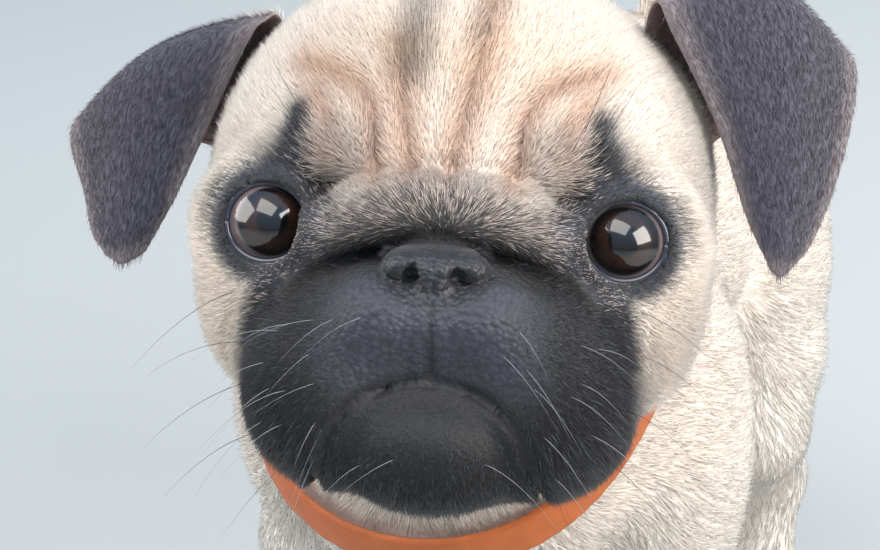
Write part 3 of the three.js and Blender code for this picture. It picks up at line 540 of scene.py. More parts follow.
def blob(q, at, radii, soft):
    """1 inside an ellipse of the front view, fading to 0 over a share of its radii."""
    return 1 - ramp(size((q[:, [0, 2]] - at) / radii), 1 - soft, 1 + soft)


def streak(q, path, width):
    """1 along a line of the front view, fading to 0 at its width."""
    best = np.zeros(len(q))
    for *_, off in stretches(q, path):
        best = np.maximum(best, 1 - ramp(off, 0, width))
    return best


def mix(a, b, share):
    return a + (b - a) * share[:, None]


# The lower edge of the fold over the nose, as places across and up, and the dark mark over each eye
FOLD_LINE = ((0, 6.6, 16, 25, 33.5, 40), (-1.2, -1.8, -4.9, -9.6, -17, -26))
EYE_MARK = [(28.5, 20.5, 4.5), (29, 15, 7.5), (32, 9, 11), (35, 4, 12)]


def eye_away(m):
    """Distance from the middle of the eye in the front view."""
    return size((m - EYE_AT)[:, [0, 2]])


def over_fold(q):
    """Height over the lower edge of the fold."""
    return q[:, 2] - np.interp(np.abs(q[:, 0]), *FOLD_LINE)


def pebble_share(q):
    """1 on the bare-looking middle of the upper lips and the chin, 0 elsewhere."""
    below = (1 - ramp(over_fold(q), -2.5, -0.5)) * (1 - ramp(-q[:, 2], 42, 50))
    return (1 - ramp(np.abs(q[:, 0]), 12, 27)) * below * (1 - ramp(q[:, 1], 6, 16))


def nose_share(q):
    """1 on the bare leather of the nose, 0 elsewhere."""
    r = np.sqrt((q[:, 0] / 11) ** 2 + ((q[:, 2] + 7.6) / 6.2) ** 2)
    return (1 - ramp(r, 0.93, 1.07)) * (q[:, 1] < -4)


def markings_and_painted_light(p):
    """Colour, with painted shade and sheen in it, how dark the mask is and the share of silver hairs, at
    points on the coat.
    """
    q = head_local(p)
    m = mirrored(q)
    x = m[:, 0]
    front = 1 - ramp(q[:, 1], 16, 30)
    back = ramp(p[:, 1], -60, 20)
    colour = mix(CREAM, WHITE, 0.6 * (1 - ramp(p[:, 2], 90, 150)))
    # Warm shade on the cheeks, the crown and the back
    colour = mix(colour, FAWN, 0.22 * ramp(p[:, 2], 150, 200) * back)
    colour = mix(colour, FAWN, 0.15 * blob(m, (45, -20), (9, 16), 0.8) * front)
    # Orange-brown along the forehead folds: partly the coat's own tone, partly painted shade in the creases
    fold_tone_and_shade = [streak(m if paired else q, path[:, :2], 6.5) for paired, path in FOREHEAD_FOLDS]
    colour = mix(colour, FOLD_BROWN_AND_SHADE, 0.55 * np.maximum.reduce(fold_tone_and_shade) * front)
    crown = blob(q, (-1, 34), (26, 9), 0.9)
    colour = mix(colour, FAWN, 0.4 * crown * front)
    thumb = np.maximum(streak(q, [(-7.6, 30), (-7.2, 44)], 6.5), streak(q, [(4, 37), (7, 46)], 5) * 0.6)
    colour = mix(colour, SLATE, 0.55 * thumb * front)
    # The black mask: muzzle, eye surrounds, the marks over the eyes' inner corners, the fold over the nose
    height = over_fold(m)
    muzzle = np.maximum(blob(m, (0, -29), (39.5, 25.5), 0.07), blob(m, (21, -34), (18, 17), 0.1))
    muzzle = np.maximum(muzzle, (1 - ramp(x, 30, 38)) * (m[:, 2] > -30)) * (1 - ramp(height, -0.5, 1.5))
    muzzle = np.maximum(muzzle, blob(m, (0, -48), (25, 13), 0.15))
    eyes = np.maximum(blob(m, (34.4, 0), (11.6, 12), 0.16), blob(m, (28, 2), (9, 10), 0.3))
    marks = np.maximum.reduce([streak(m, [c[:2], d[:2]], c[2]) for c, d in zip(EYE_MARK, EYE_MARK[1:])])
    tear = np.minimum(1.5 * streak(m, [(32, -6), (33, -12), (34.5, -22)], 7.5), 1)
    fold = ramp(height, -1, 1) * (1 - ramp(height, 8.5, 15.5)) * (1 - ramp(x, 34, 41))
    brow = 0.45 * blob(m, (21, 11.5), (7, 8.5), 0.6)
    dark = np.maximum.reduce([muzzle, eyes, np.minimum(marks * 1.4, 1), 0.92 * fold, tear, brow]) * front
    colour = mix(colour, SLATE, dark)
    # Painted sheen: the upper lip pads paler and bluer than the mask round them, as if lit from the sky above
    colour = mix(colour, LIP_SHEEN, pebble_share(q) * (1 - ramp(-q[:, 2], 22, 34)))
    colour = mix(colour, EYE_GREY, 0.75 * eyes * ramp(eye_away(m), 8.5, 11) * front)
    # Painted shade: BLACK in the mouth and philtrum creases, in the pit over each eye, in a band under the
    # fold over the nose and on the chin
    lines = np.maximum(crease(m, MOUTH) / 2.4, crease(m, PHILTRUM) / 1.6)
    pit = blob(m, (24, 9), (4, 4), 0.6)
    chin = blob(m, (0, -40), (19, 12), 0.3)
    under = (1 - ramp(np.abs(height + 1), 1.5, 5)) * (1 - ramp(x, 26, 34))
    black = np.maximum.reduce([np.minimum(lines, 1), chin, under, pit])
    colour = mix(colour, BLACK, black * (dark > 0.45) * front)
    silver = np.maximum(ramp(height, 1, 8) * fold * (1 - ramp(x, 32, 40)), 1.5 * brow) * front
    nose = nose_share(q)
    colour = mix(colour, LEATHER, nose)
    pads = (1 - ramp(p[:, 2], 1.5, 4)) * (p[:, 2] < 8)
    colour = mix(colour, BLACK, pads)
    return colour, np.maximum(dark, pads), silver * (1 - nose)


# Objects
collection = bpy.context.scene.collection


def mesh_object(name, points, faces, colours=None):
    mesh = bpy.data.meshes.new(name)
    points, faces = np.asarray(points, np.float32), np.asarray(faces, np.int32)
    mesh.vertices.add(len(points))
    mesh.vertices.foreach_set("co", ((points + PLACE) / 1000).astype(np.float32).ravel())
    mesh.loops.add(faces.size)
    mesh.loops.foreach_set("vertex_index", faces.ravel())
    mesh.polygons.add(len(faces))
    mesh.polygons.foreach_set("loop_start", np.arange(len(faces), dtype=np.int32) * faces.shape[1])
    mesh.polygons.foreach_set("use_smooth", np.full(len(faces), True))
    mesh.update(calc_edges=True)
    if colours is not None:
        layer = mesh.color_attributes.new("coat", "FLOAT_COLOR", "POINT")
        rgba = np.column_stack([colours, np.ones(len(colours))]).astype(np.float32)
        layer.data.foreach_set("color", rgba.ravel())
    piece = bpy.data.objects.new(name, mesh)
    collection.objects.link(piece)
    return piece


def number_layer(piece, name, values):
    layer = piece.data.attributes.new(name, "FLOAT", "POINT")
    layer.data.foreach_set("value", np.asarray(values, np.float32))


def dress(piece, material, slot, *nodes):
    piece.data.materials.append(material)
    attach(piece, "root")
    if nodes:
        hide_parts(*nodes)
    return piece


# Materials
class Nodes:
    def __init__(self, name, kind=bpy.data.materials, shader="Principled BSDF"):
        self.owner = kind.new(name)
        self.owner.use_nodes = True
        self.tree = self.owner.node_tree
        self.shader = self.tree.nodes[shader]

    def add(self, kind, **values):
        node = self.tree.nodes.new(kind)
        for key, value in values.items():
            if hasattr(node, key):
                setattr(node, key, value)
            else:
                node.inputs[key.replace("_", " ")].default_value = value
        return node

    def link(self, a, b):
        """Joins an output, or sets a plain value, to an input."""
        if hasattr(a, "links"):
            self.tree.links.new(a, b)
        else:
            b.default_value = a

    def colour(self, value):
        self.link(value, self.shader.inputs["Base Color"])

    def set(self, **values):
        for key, value in values.items():
            self.shader.inputs[key.replace("_", " ")].default_value = value

    def attribute(self, name):
        return self.add("ShaderNodeAttribute", attribute_name=name)

    def place(self):
        return self.add("ShaderNodeNewGeometry").outputs["Position"]

    def noise(self, scale, detail=3, where=None):
        node = self.add("ShaderNodeTexNoise", Scale=scale, Detail=detail)
        self.link(where or self.place(), node.inputs["Vector"])
        return node.outputs["Fac"]

    def spread(self, value, low, high):
        node = self.add("ShaderNodeMapRange", To_Min=low, To_Max=high)
        self.link(value, node.inputs["Value"])
        return node.outputs["Result"]

    def mixed(self, share, a, b, how="MIX"):
        node = self.add("ShaderNodeMix", data_type="RGBA", blend_type=how)
        for number, value in ((0, share), (6, a), (7, b)):
            self.link(value, node.inputs[number])
        return node.outputs[2]

    def sum(self, operation, *values):
        node = self.add("ShaderNodeMath", operation=operation)
        for value, socket in zip(values, node.inputs):
            self.link(value, socket)
        return node.outputs[0]

    def bump(self, height, strength, distance):
        node = self.add("ShaderNodeBump", Strength=strength, Distance=distance)
        self.link(height, node.inputs["Height"])
        self.link(node.outputs["Normal"], self.shader.inputs["Normal"])


def coat_material(name, roughness, sheen):
    n = Nodes(name)
    colour = n.attribute("coat").outputs["Color"]
    shade = n.spread(n.noise(900, 2), 0.8, 1.15)
    n.colour(n.mixed(1.0, colour, shade, "MULTIPLY"))
    n.set(Roughness=roughness, Sheen_Weight=sheen, Sheen_Roughness=0.4, Specular_IOR_Level=0.5)
    return n.owner


def skin_material():
    n = Nodes("skin")
    colour = n.attribute("coat").outputs["Color"]
    shade = n.spread(n.noise(700, 4), 0.75, 1.15)
    wet = n.attribute("wet").outputs["Fac"]
    pebble = n.attribute("pebble").outputs["Fac"]
    cells = n.add("ShaderNodeTexVoronoi", Scale=850)
    n.link(n.place(), cells.inputs["Vector"])
    # Grains of about a millimetre on the nose and the middle of the lips: raised bumps, with a painted
    # highlight on the top of each grain and painted shade between them
    grain_bump_and_shade = n.spread(cells.outputs["Distance"], 1.5, 0.45)
    plain = n.mixed(1.0, colour, shade, "MULTIPLY")
    n.colour(n.mixed(pebble, plain, n.mixed(1.0, colour, grain_bump_and_shade, "MULTIPLY")))
    rough = n.sum("MULTIPLY_ADD", n.spread(pebble, 0, -0.14), 1, n.spread(wet, 0.68, 0.56))
    n.link(rough, n.shader.inputs["Roughness"])
    n.set(Sheen_Weight=0.15, Sheen_Roughness=0.5)
    height = n.sum("MULTIPLY_ADD", n.noise(1500, 4), 0.5, n.sum("MULTIPLY", grain_bump_and_shade, pebble))
    n.bump(height, 0.55, 0.0006)
    return n.owner


# Skin
skin_points, skin_faces = make_skin()
skin = mesh_object("skin", skin_points, skin_faces, markings_and_painted_light(skin_points)[0])
skin_local = head_local(skin_points)
number_layer(skin, "wet", nose_share(skin_local))
number_layer(skin, "pebble", pebble_share(skin_local) * (1 - 0.65 * ramp(-skin_local[:, 2], 24, 30)))
flesh = [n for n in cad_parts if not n.startswith(("eye", "collar", "ear"))]
dress(skin, skin_material(), "body_coat", *flesh)

# Where the photo was taken from: the eyes look there
VIEW_AZIMUTH, VIEW_DOWN, FOCAL = 20, 25, 2340
IMAGE = (880, 550)
EYES_AT_PIXEL = (443.5, 232.5)
DISTANCE = 450
view_turn, view_drop = math.radians(VIEW_AZIMUTH), math.radians(VIEW_DOWN)
right = np.array([math.cos(view_turn), math.sin(view_turn), 0])
level = np.array([math.sin(view_turn), -math.cos(view_turn), 0])
back = level * math.cos(view_drop) + np.array([0, 0, math.sin(view_drop)])
up = np.cross(back, right)
offset = (np.array(EYES_AT_PIXEL) - np.array(IMAGE) / 2) * DISTANCE / FOCAL
camera_at = HEAD_AT - offset[0] * right + offset[1] * up + DISTANCE * back


def plain_material(name, **values):
    n = Nodes(name)
    n.set(**values)
    return n.owner


def unit(v):
    return v / np.maximum(size(v), 1e-9)[..., None]


def grid_faces(rows, columns, closed=False):
    r, i = np.meshgrid(np.arange(rows - 1), np.arange(columns if closed else columns - 1), indexing="ij")
    a = (r * columns + i).ravel()
    b = (r * columns + (i + 1) % columns).ravel()
    return np.concatenate([np.stack([a, b, b + columns], 1), np.stack([a, b + columns, a + columns], 1)])


def ring_of(turns, side, other):
    """Directions round a circle, from side over other, for each place that side and other are given for."""
    return np.cos(turns)[:, None] * side[..., None, :] + np.sin(turns)[:, None] * other[..., None, :]


def tube(path, radii, sides):
    """A closed tube along a path of points, ending in points where a radius is nothing."""
    path = np.asarray(path, float)
    way = unit(np.gradient(path, axis=0))
    side = unit(np.cross(way, (0.31, 0.2, 0.93)))
    ring = ring_of(np.linspace(0, 2 * math.pi, sides, endpoint=False), side, np.cross(way, side))
    points = (path[:, None] + ring * np.asarray(radii, float)[:, None, None]).reshape(-1, 3)
    faces = grid_faces(len(path), sides, True)
    last = len(points) - sides
    points = np.vstack([points, path[0], path[-1]])
    i = np.arange(sides)
    j = (i + 1) % sides
    first_cap = np.stack([j, i, np.full(sides, len(points) - 2)], 1)
    last_cap = np.stack([last + i, last + j, np.full(sides, len(points) - 1)], 1)
    return points, np.concatenate([faces, first_cap, last_cap])


def joined(parts):
    """Several meshes as one."""
    points, faces, start = [], [], 0
    for p, f in parts:
        points.append(p)
        faces.append(f + start)
        start += len(p)
    return np.concatenate(points), np.concatenate(faces)


# Eyes: a ball with the cornea standing out a little, looking at the camera, and a moist rim round the opening
EYE_RINGS, EYE_SIDES = 72, 96
PUPIL, IRIS, LIMBUS = 18, 39, 43  # degrees from the line of sight
CORNEA_RISE = 0.75
BALL_RADIUS = EYE_RADIUS - 0.25


def eye_material():
    n = Nodes("eye")
    n.colour(n.attribute("coat").outputs["Color"])
    n.set(Roughness=0.12, Coat_Weight=1, Coat_Roughness=0.015, Coat_IOR=1.45)
    return n.owner


def make_eye(name, sign, material):
    centre = from_head(EYE_AT * (sign, 1, 1))
    sight = unit(camera_at - centre)
    side = unit(np.cross(sight, (0, 0, 1)))
    top = np.cross(side, sight)
    share = np.linspace(0, 1, EYE_RINGS)
    angle = np.degrees(share**1.5 * math.pi)
    turns = np.linspace(0, 2 * math.pi, EYE_SIDES, endpoint=False)
    radius = BALL_RADIUS + CORNEA_RISE * np.maximum(1 - (angle / LIMBUS) ** 2, 0) ** 2
    a = np.radians(angle)[:, None, None]
    points = centre + radius[:, None, None] * (np.cos(a) * sight + np.sin(a) * ring_of(turns, side, top))
    around = np.tile(turns, (EYE_RINGS, 1)).ravel()
    away = np.repeat(angle, EYE_SIDES)
    rays = 0.5 + 0.25 * np.sin(around * 31 + 2 * np.sin(around * 7)) + 0.25 * np.sin(around * 53)
    iris = mix(IRIS_DARK, IRIS_LIGHT, rays * 0.7)
    iris = mix(iris, IRIS_EDGE, ramp(away, 28, IRIS))
    colour = mix(PUPIL_BLACK, iris, ramp(away, PUPIL - 1.5, PUPIL + 1.5))
    colour = mix(colour, LIMBUS_BLACK, ramp(away, IRIS - 2, LIMBUS - 1))
    colour = mix(colour, EYE_WHITE, ramp(away, LIMBUS, LIMBUS + 4))
    piece = mesh_object(name, points.reshape(-1, 3), grid_faces(EYE_RINGS, EYE_SIDES, True)[:, ::-1], colour)
    dress(piece, material, "eye", name.removesuffix("_ball"))


def make_lid_rim(name, sign, material):
    turns = np.linspace(0, 2 * math.pi, 73)
    (x, _, z), (wide, _, high) = EYE_OPENING
    flat = np.stack([x + (wide + 0.1) * np.cos(turns), z + (high + 0.1) * np.sin(turns)], 1)
    rest = (EYE_RADIUS + 0.2) ** 2 - size(flat - EYE_AT[[0, 2]]) ** 2
    path = np.stack([flat[:, 0] * sign, EYE_AT[1] - np.sqrt(rest), flat[:, 1]], 1)
    points, faces = tube(from_head(path), 0.72 - 0.25 * np.sin(turns), 10)
    piece = mesh_object(name, points, faces)
    dress(piece, material, "nose_leather")


eye_look = eye_material()
lid_look = plain_material("lid", Base_Color=(*LID, 1), Roughness=0.22, Coat_Weight=0.6, Coat_Roughness=0.08)
for name, sign in (("left", 1), ("right", -1)):
    make_eye(f"eye_{name}_ball", sign, eye_look)
    make_lid_rim(f"lid_rim_{name}", sign, lid_look)


# Claws: short dark cones that stand out of the toes and bend down a little
CLAW_DROP = math.radians(20)
CLAW_LENGTH, CLAW_RADIUS, CLAW_BEND, CLAW_STEPS = 6, 1.5, 0.5, 7


def make_claws():
    way = np.array([0, -math.cos(CLAW_DROP), -math.sin(CLAW_DROP)])
    t = np.linspace(0, 1, CLAW_STEPS)[:, None]
    radii = CLAW_RADIUS * np.sqrt(1 - (0.998 * t[:, 0]) ** 2)
    parts = []
    for at, _ in (FRONT_PAW, HIND_PAW):
        for side, forward, _ in TOES:
            for sign in (1, -1):
                base = np.array([at[0] + side, at[1] + forward - 9, TOE_HEIGHT - 1.3]) - way * 3
                path = (base + way * CLAW_LENGTH * t - (0, 0, CLAW_BEND) * t**2) * (sign, 1, 1)
                parts.append(tube(path, radii, 10))
    piece = mesh_object("claws", *joined(parts))
    dress(piece, plain_material("horn", Base_Color=(*HORN, 1), Roughness=0.35), "nose_leather")


make_claws()


def on_front(x, z):
    """The points of the skin straight behind places of the head's front view."""
    q = np.stack([x, np.full(len(x), -40.0), z], 1)
    for _ in range(60):
        q[:, 1] += skin_distance(from_head(q)) * 0.7
    return q


# Whiskers: fine hairs that stand out of the muzzle and curve down along it, with some on brows and cheeks
# Rows on the muzzle, as x, z, count and step
WHISKER_ROWS = (
    (13, -15, 5, 4.6),
    (12, -21, 5, 5),
    (15, -27, 4, 5),
    (18, -34, 4, 4.5),
    (20, -42, 2, 4),
    (6, -42, 2, 6),
)
# Single ones over the eyes and on the cheeks, as x, z, lean outwards, shortest and longest
LONE_WHISKERS = (
    (24, 15, 0.3, 13, 22),
    (28, 18, 0.35, 13, 22),
    (26, 20, 0.2, 10, 20),
    (40, -14, 0.9, 14, 22),
    (38, -22, 0.9, 14, 24),
    (37, -30, 0.9, 12, 24),
    (34, -40, 0.8, 12, 20),
)
WHISKER_RADIUS = 0.075


def make_whiskers():
    parts, shades = [], []
    spots = [(x + i * step, z - i, 0.75, 8, 17) for x, z, count, step in WHISKER_ROWS for i in range(count)]
    for x, z, out, short, long in (*spots, *LONE_WHISKERS):
        for sign in (1, -1):
            at = on_front(np.array([x + rng.normal(0, 1)]), np.array([z + rng.normal(0, 1)]))[0]
            normal = gradient(skin_distance, from_head(at)[None])[0][0] @ HEAD_TURN
            over = z > 0
            way = unit(normal * 0.55 + np.array([out, 0.1, 0.8 if over else -0.35]) + rng.normal(0, 0.16, 3))
            t = np.linspace(0, 1, 9)[:, None]
            length = rng.uniform(short, long)
            bend = np.array([0.1, 0.5, 0.1 if over else -0.85]) * length * t**2 * rng.uniform(0.35, 0.8)
            path = (at - normal * 0.4 + way * length * t + bend) * (sign, 1, 1)
            pale = x < 33 and not over and rng.random() < 0.7
            parts.append(tube(from_head(path), WHISKER_RADIUS * (1 - 0.9 * t[:, 0]), 4))
            shades.append(np.tile(WHISKER_PALE if pale else WHISKER_DARK, (len(parts[-1][0]), 1)))
    piece = mesh_object("whiskers", *joined(parts), np.concatenate(shades))
    dress(piece, coat_material("whisker", 0.4, 0), "face_coat")


make_whiskers()

# Collar: a padded band that follows the skin round the base of the neck, with a seam along each edge
COLLAR_AT = np.array([5, -76, 160.5])
COLLAR_UP = unit(np.array([-0.08, -0.78, 0.62]))
COLLAR_WIDTH, COLLAR_THICKNESS = 8, 2
COLLAR_STEPS = 160
COLLAR_SEAM = 0.28


def make_collar():
    forward = unit(np.array([0, -1, 0]) + COLLAR_UP * COLLAR_UP[1])
    across = np.cross(forward, COLLAR_UP)
    turns = np.linspace(0, 2 * math.pi, COLLAR_STEPS, endpoint=False)
    out = ring_of(turns, forward, across)
    profile = []
    for edge in (-1, 1):
        start = COLLAR_AT + COLLAR_UP * edge * COLLAR_WIDTH / 2
        reach = np.full(COLLAR_STEPS, 20.0)
        for _ in range(400):
            reach += 0.25 * (solid_distance(start + out * reach[:, None]) < GAP + 0.35)
        profile.append(reach)
    turns = np.linspace(0, 2 * math.pi, 25)[:-1]
    height = np.clip(1.12 * np.sin(turns), -1, 1)
    depth = 0.5 + 0.5 * np.sign(np.cos(turns)) * np.abs(np.cos(turns)) ** 0.45
    seam = COLLAR_SEAM * np.exp(-(((np.abs(height) - 0.72) / 0.08) ** 2)) * (depth > 0.7)
    share = (height + 1) / 2
    low, high = (edge[:, None] for edge in profile)
    reach = between(low, high, share) + (depth * COLLAR_THICKNESS - seam)
    rise = height * COLLAR_WIDTH / 2
    points = COLLAR_AT + COLLAR_UP * rise[None, :, None] + out[:, None] * reach[..., None]
    count = len(turns)
    faces = grid_faces(COLLAR_STEPS + 1, count, True) % (COLLAR_STEPS * count)
    piece = mesh_object("collar_band", points.reshape(-1, 3), faces[:, ::-1])
    n = Nodes("collar")
    shade = n.spread(n.noise(160, 4), 0.7, 1.15)
    n.colour(n.mixed(1.0, (*ORANGE, 1), shade, "MULTIPLY"))
    n.set(Roughness=0.48)
    n.bump(n.noise(1800, 3), 0.35, 0.0004)
    dress(piece, n.owner, "collar", "collar")


make_collar()

# Ears: rows of points from the base over the fold to the tip, inner edge first, given for the left side
LEFT_EAR = (
    ((36, 42, 38), (46, 55, 30), (50, 66, 18)),
    ((37, 37, 46), (56, 50, 48), (68, 62, 34)),
    ((39, 31.5, 48), (60, 42, 54), (79, 52, 40)),
    ((42, 30, 42), (64, 38, 44), (81, 47, 32)),
    ((52, 33, 24), (67, 36, 22), (78, 41, 15)),
    ((59, 34, 6), (67, 33.5, 5), (73, 35, 1)),
    ((64.5, 31, -5), (66.5, 30, -6.5), (68.5, 31, -5)),
)
RIGHT_EAR = (
    ((37, 44, 36), (47, 57, 24), (49, 66, 12)),
    ((40, 40, 42), (62, 55, 34), (74, 62, 18)),
    ((42, 36, 41), (67, 46, 33.5), (83.5, 50, 18)),
    ((45, 34, 37), (69, 40, 27), (84.5, 46, 13)),
    ((53, 37, 19), (70, 37, 12), (80, 41, 3)),
    ((59.5, 35, 2.5), (69, 33.5, -2), (76.5, 35, -5.5)),
    ((64.5, 32, -8.5), (68.6, 30, -11.2), (72.6, 31, -9.6)),
)
EAR_THICKNESS, EAR_RIM = 1.7, 0.6
EAR_ALONG, EAR_ACROSS = 60, 26


def ear_sheet(rows, sign):
    """The ear's middle sheet, its normals, and the way down towards its tip, as rows by columns."""
    rows = np.array(rows, float)
    lines = np.stack([smooth_line(rows[:, i], EAR_ALONG) for i in range(3)], 1)
    sheet = np.stack([smooth_line(line, EAR_ACROSS) for line in lines])
    sheet[..., 0] *= sign
    sheet = from_head(sheet.reshape(-1, 3)).reshape(sheet.shape)
    along = np.gradient(sheet, axis=0)
    over = np.gradient(sheet, axis=1)
    return sheet, unit(np.cross(along, over)) * sign, unit(along)


def ear_colours(down, across, outer):
    """down runs from the base to the tip, across from the inner to the outer edge."""
    edge = np.minimum(np.minimum(across, 1 - across) * 2, (1 - down) * 3)
    colour = mix(EAR_BLACK, EAR_EDGE, (1 - ramp(edge, 0.02, 0.3)) * 0.6 + 0.12 * ramp(across, 0.3, 0.9))
    if outer:
        return mix(CREAM, colour, ramp(down + 0.1 * across, 0.06, 0.26))
    return mix(colour, EAR_INSIDE, np.full(len(down), 0.35))


def ear_half_thickness(down, across):
    edge = np.minimum(np.minimum(across, 1 - across), (1 - down) * 1.5)
    return (EAR_RIM + (EAR_THICKNESS - EAR_RIM) * ramp(edge, 0, 0.18)) / 2


ear_look = coat_material("ear", 0.75, 0.3)
EAR_DOWN, EAR_OVER = np.meshgrid(np.linspace(0, 1, EAR_ALONG), np.linspace(0, 1, EAR_ACROSS), indexing="ij")


def make_ear(name, rows, sign):
    sheet, normal, way = ear_sheet(rows, sign)
    half = ear_half_thickness(EAR_DOWN, EAR_OVER)[..., None]
    sides = [(sheet + face * normal * half).reshape(-1, 3) for face in (1, -1)]
    count = len(sides[0])
    front = grid_faces(EAR_ALONG, EAR_ACROSS)
    number = np.arange(count).reshape(EAR_ALONG, EAR_ACROSS)
    rim = np.concatenate([number[0, :-1], number[:-1, -1], number[-1, :0:-1], number[:0:-1, 0]])
    following = np.roll(rim, -1)
    inner = np.stack([following, rim, rim + count], 1)
    outer = np.stack([following, rim + count, following + count], 1)
    faces = np.concatenate([front, front[:, ::-1] + count, inner, outer])
    if sign < 0:
        faces = faces[:, ::-1]
    shares = (EAR_DOWN.ravel(), EAR_OVER.ravel())
    colours = np.concatenate([ear_colours(*shares, outer) for outer in (True, False)])
    piece = mesh_object(name + "_skin", np.concatenate(sides), faces, colours)
    dress(piece, ear_look, "ear_coat", name)
    return sheet, normal, way


# Coat: thin closed tufts, each with three corners at its root and a point at its tip
COAT_LIMIT = 48000
TUFT_DEPTH = 0.15  # how far a root goes into the skin
TUFT_CLEARANCE = 0.05  # over the floor
TUFT_PATCH = 0.0014  # half the side of a tuft's patch on the unwrap
TUFT_FACES = np.array([(0, 2, 1), (0, 1, 3), (1, 2, 3), (2, 0, 3)])
# Painted shade: every tuft darker at its root's corners, deep in the coat, and a little lighter at its tip
TUFT_PAINTED_SHADE = np.array([0.82, 0.82, 0.9, 1.1])  # from the root's corners to the tip
TUFT_CORNERS = np.array([(-1, -1), (1, -1), (1, 1), (-1, 1)]) * TUFT_PATCH
coat_look = coat_material("coat", 0.5, 0.05)


def add_tufts(name, roots, normals, ways, lengths, widths, lifts, colours, places, slot):
    """Adds the tufts as pieces of COAT_LIMIT at most. places are their roots on the unwrapped skin."""
    side = unit(np.cross(normals, ways))
    ahead = unit(ways * np.cos(lifts)[:, None] + normals * np.sin(lifts)[:, None])
    w = widths[:, None] / 2
    foot = roots - normals * TUFT_DEPTH
    tip = foot + ahead * lengths[:, None]
    corners = np.stack([foot - side * w, foot + side * w, foot + normals * w * 1.1, tip], 1)
    corners[..., 2] = np.maximum(corners[..., 2], TUFT_CLEARANCE)
    for start in range(0, len(roots), COAT_LIMIT):
        part = slice(start, start + COAT_LIMIT)
        points = corners[part].reshape(-1, 3)
        number = len(points) // 4
        faces = (TUFT_FACES + 4 * np.arange(number)[:, None, None]).reshape(-1, 3)
        # Each tuft's colour with its painted shade from root to tip
        coat_and_root_shade = (colours[part][:, None] * TUFT_PAINTED_SHADE[:, None]).reshape(-1, 3)
        piece = mesh_object(f"{name}_{start // COAT_LIMIT + 1}", points, faces, coat_and_root_shade)
        layer = piece.data.uv_layers.new(name="OFBake")
        at = (places[part][:, None] + TUFT_CORNERS).reshape(-1, 2)
        layer.data.foreach_set("uv", at[faces.ravel()].astype(np.float32).ravel())
        dress(piece, coat_look, slot)


def unwrap(p):
    """Where the skin's points lie on its unwrap: the head spread from the nose, body and legs rolled out."""
    q = head_local(p) - (0, 30, -6)
    r = size(q)
    polar = np.arccos(np.clip(-q[:, 1] / r, -1, 1)) / math.pi
    about = np.arctan2(q[:, 2], q[:, 0])
    head = np.stack([0.25 + 0.24 * polar * np.cos(about), 0.75 + 0.24 * polar * np.sin(about)], 1)
    roll = np.arctan2(p[:, 0], p[:, 2] - 145) / (2 * math.pi) + 0.5
    body = np.stack([0.01 + 0.97 * roll, 0.01 + 0.46 * np.clip((p[:, 1] + 130) / 270, 0, 1)], 1)
    place = np.where((r < 66)[:, None], head, body)
    leg = p[:, 2] < 92
    front, left = p[:, 1] < 5, p[:, 0] > 0
    roll = np.arctan2(np.abs(p[:, 0]) - LEG_SPREAD, p[:, 1] - np.where(front, -47, 84)) / (2 * math.pi) + 0.5
    column = np.where(front, 0, 2) + left
    legs = np.stack([0.51 + 0.12 * column + 0.11 * roll, 0.51 + 0.2 * p[:, 2] / 92], 1)
    place = np.where(leg[:, None], legs, place)
    turned = np.arctan2(p[:, 2] - TAIL_CENTRE[2], p[:, 1] - TAIL_CENTRE[1]) / (2 * math.pi) + 0.5
    curl = np.stack([0.51 + 0.46 * turned, 0.74 + 0.04 * np.clip((p[:, 0] + 12) / 36, 0, 1)], 1)
    return np.where(near_tail(p, 175)[:, None], curl, place)


def coat_fields(p, normals):
    """Length, width, lift and lie of the coat at points of the skin, and shares of face, head and muzzle."""
    q = head_local(p)
    face = 1 - ramp(face_away(q), 30, 52)
    head = 1 - ramp(head_away(q), 56, 84)
    legs = (1 - ramp(p[:, 2], 60, 120)) * (1 - head)
    feet = (1 - ramp(p[:, 2], 12, 36)) * (1 - head)
    height = over_fold(q)
    roll = ramp(height, 0, 2) * (1 - ramp(height, 9, 14)) * (np.abs(q[:, 0]) < 40)
    muzzle = face * (1 - ramp(height, -2, 0)) * (1 - ramp(q[:, 1], 4, 26)) * (1 - ramp(-q[:, 2], 46, 55))
    middle = muzzle * pebble_share(q)
    length = 6.8 - 1.6 * legs - 1.8 * feet
    length = between(length, 4.6 - 1.2 * face, head)
    length = between(length, 1.7 - 1.05 * middle, muzzle)
    length = np.where(roll * face > 0.3, 2.4, length)
    m = mirrored(q)
    length = np.where(face * head > 0.1, length * (0.3 + 0.7 * ramp(eye_away(m), 8, 17)), length)
    width = 0.46 - 0.1 * legs - 0.1 * feet
    width = between(width, 0.2 - 0.02 * face, head)
    width = between(width, 0.13 - 0.03 * middle, muzzle)
    lift = np.radians(11 + 7 * head + 14 * muzzle)
    # The coat runs away from the nose on the head, towards the tail on the body and down the legs
    from_nose = unit(q - (0, -15, -5)) @ HEAD_TURN.T
    down_leg = np.array([0.0, 0.12, -1.0])
    to_tail = np.array([0.0, 1.0, -0.32])
    body_way = unit(between(to_tail, down_leg, legs[:, None]))
    way = between(body_way, from_nose, head[:, None])
    on_tail = near_tail(p, 178)
    nearest = ((p[on_tail][:, None] - TAIL_LINE[None]) ** 2).sum(2).argmin(1)
    way[on_tail] = np.gradient(TAIL_LINE, axis=0)[nearest]
    way = way - normals * (way * normals).sum(1)[:, None]
    return length, width, lift, unit(way), face * head, head, muzzle


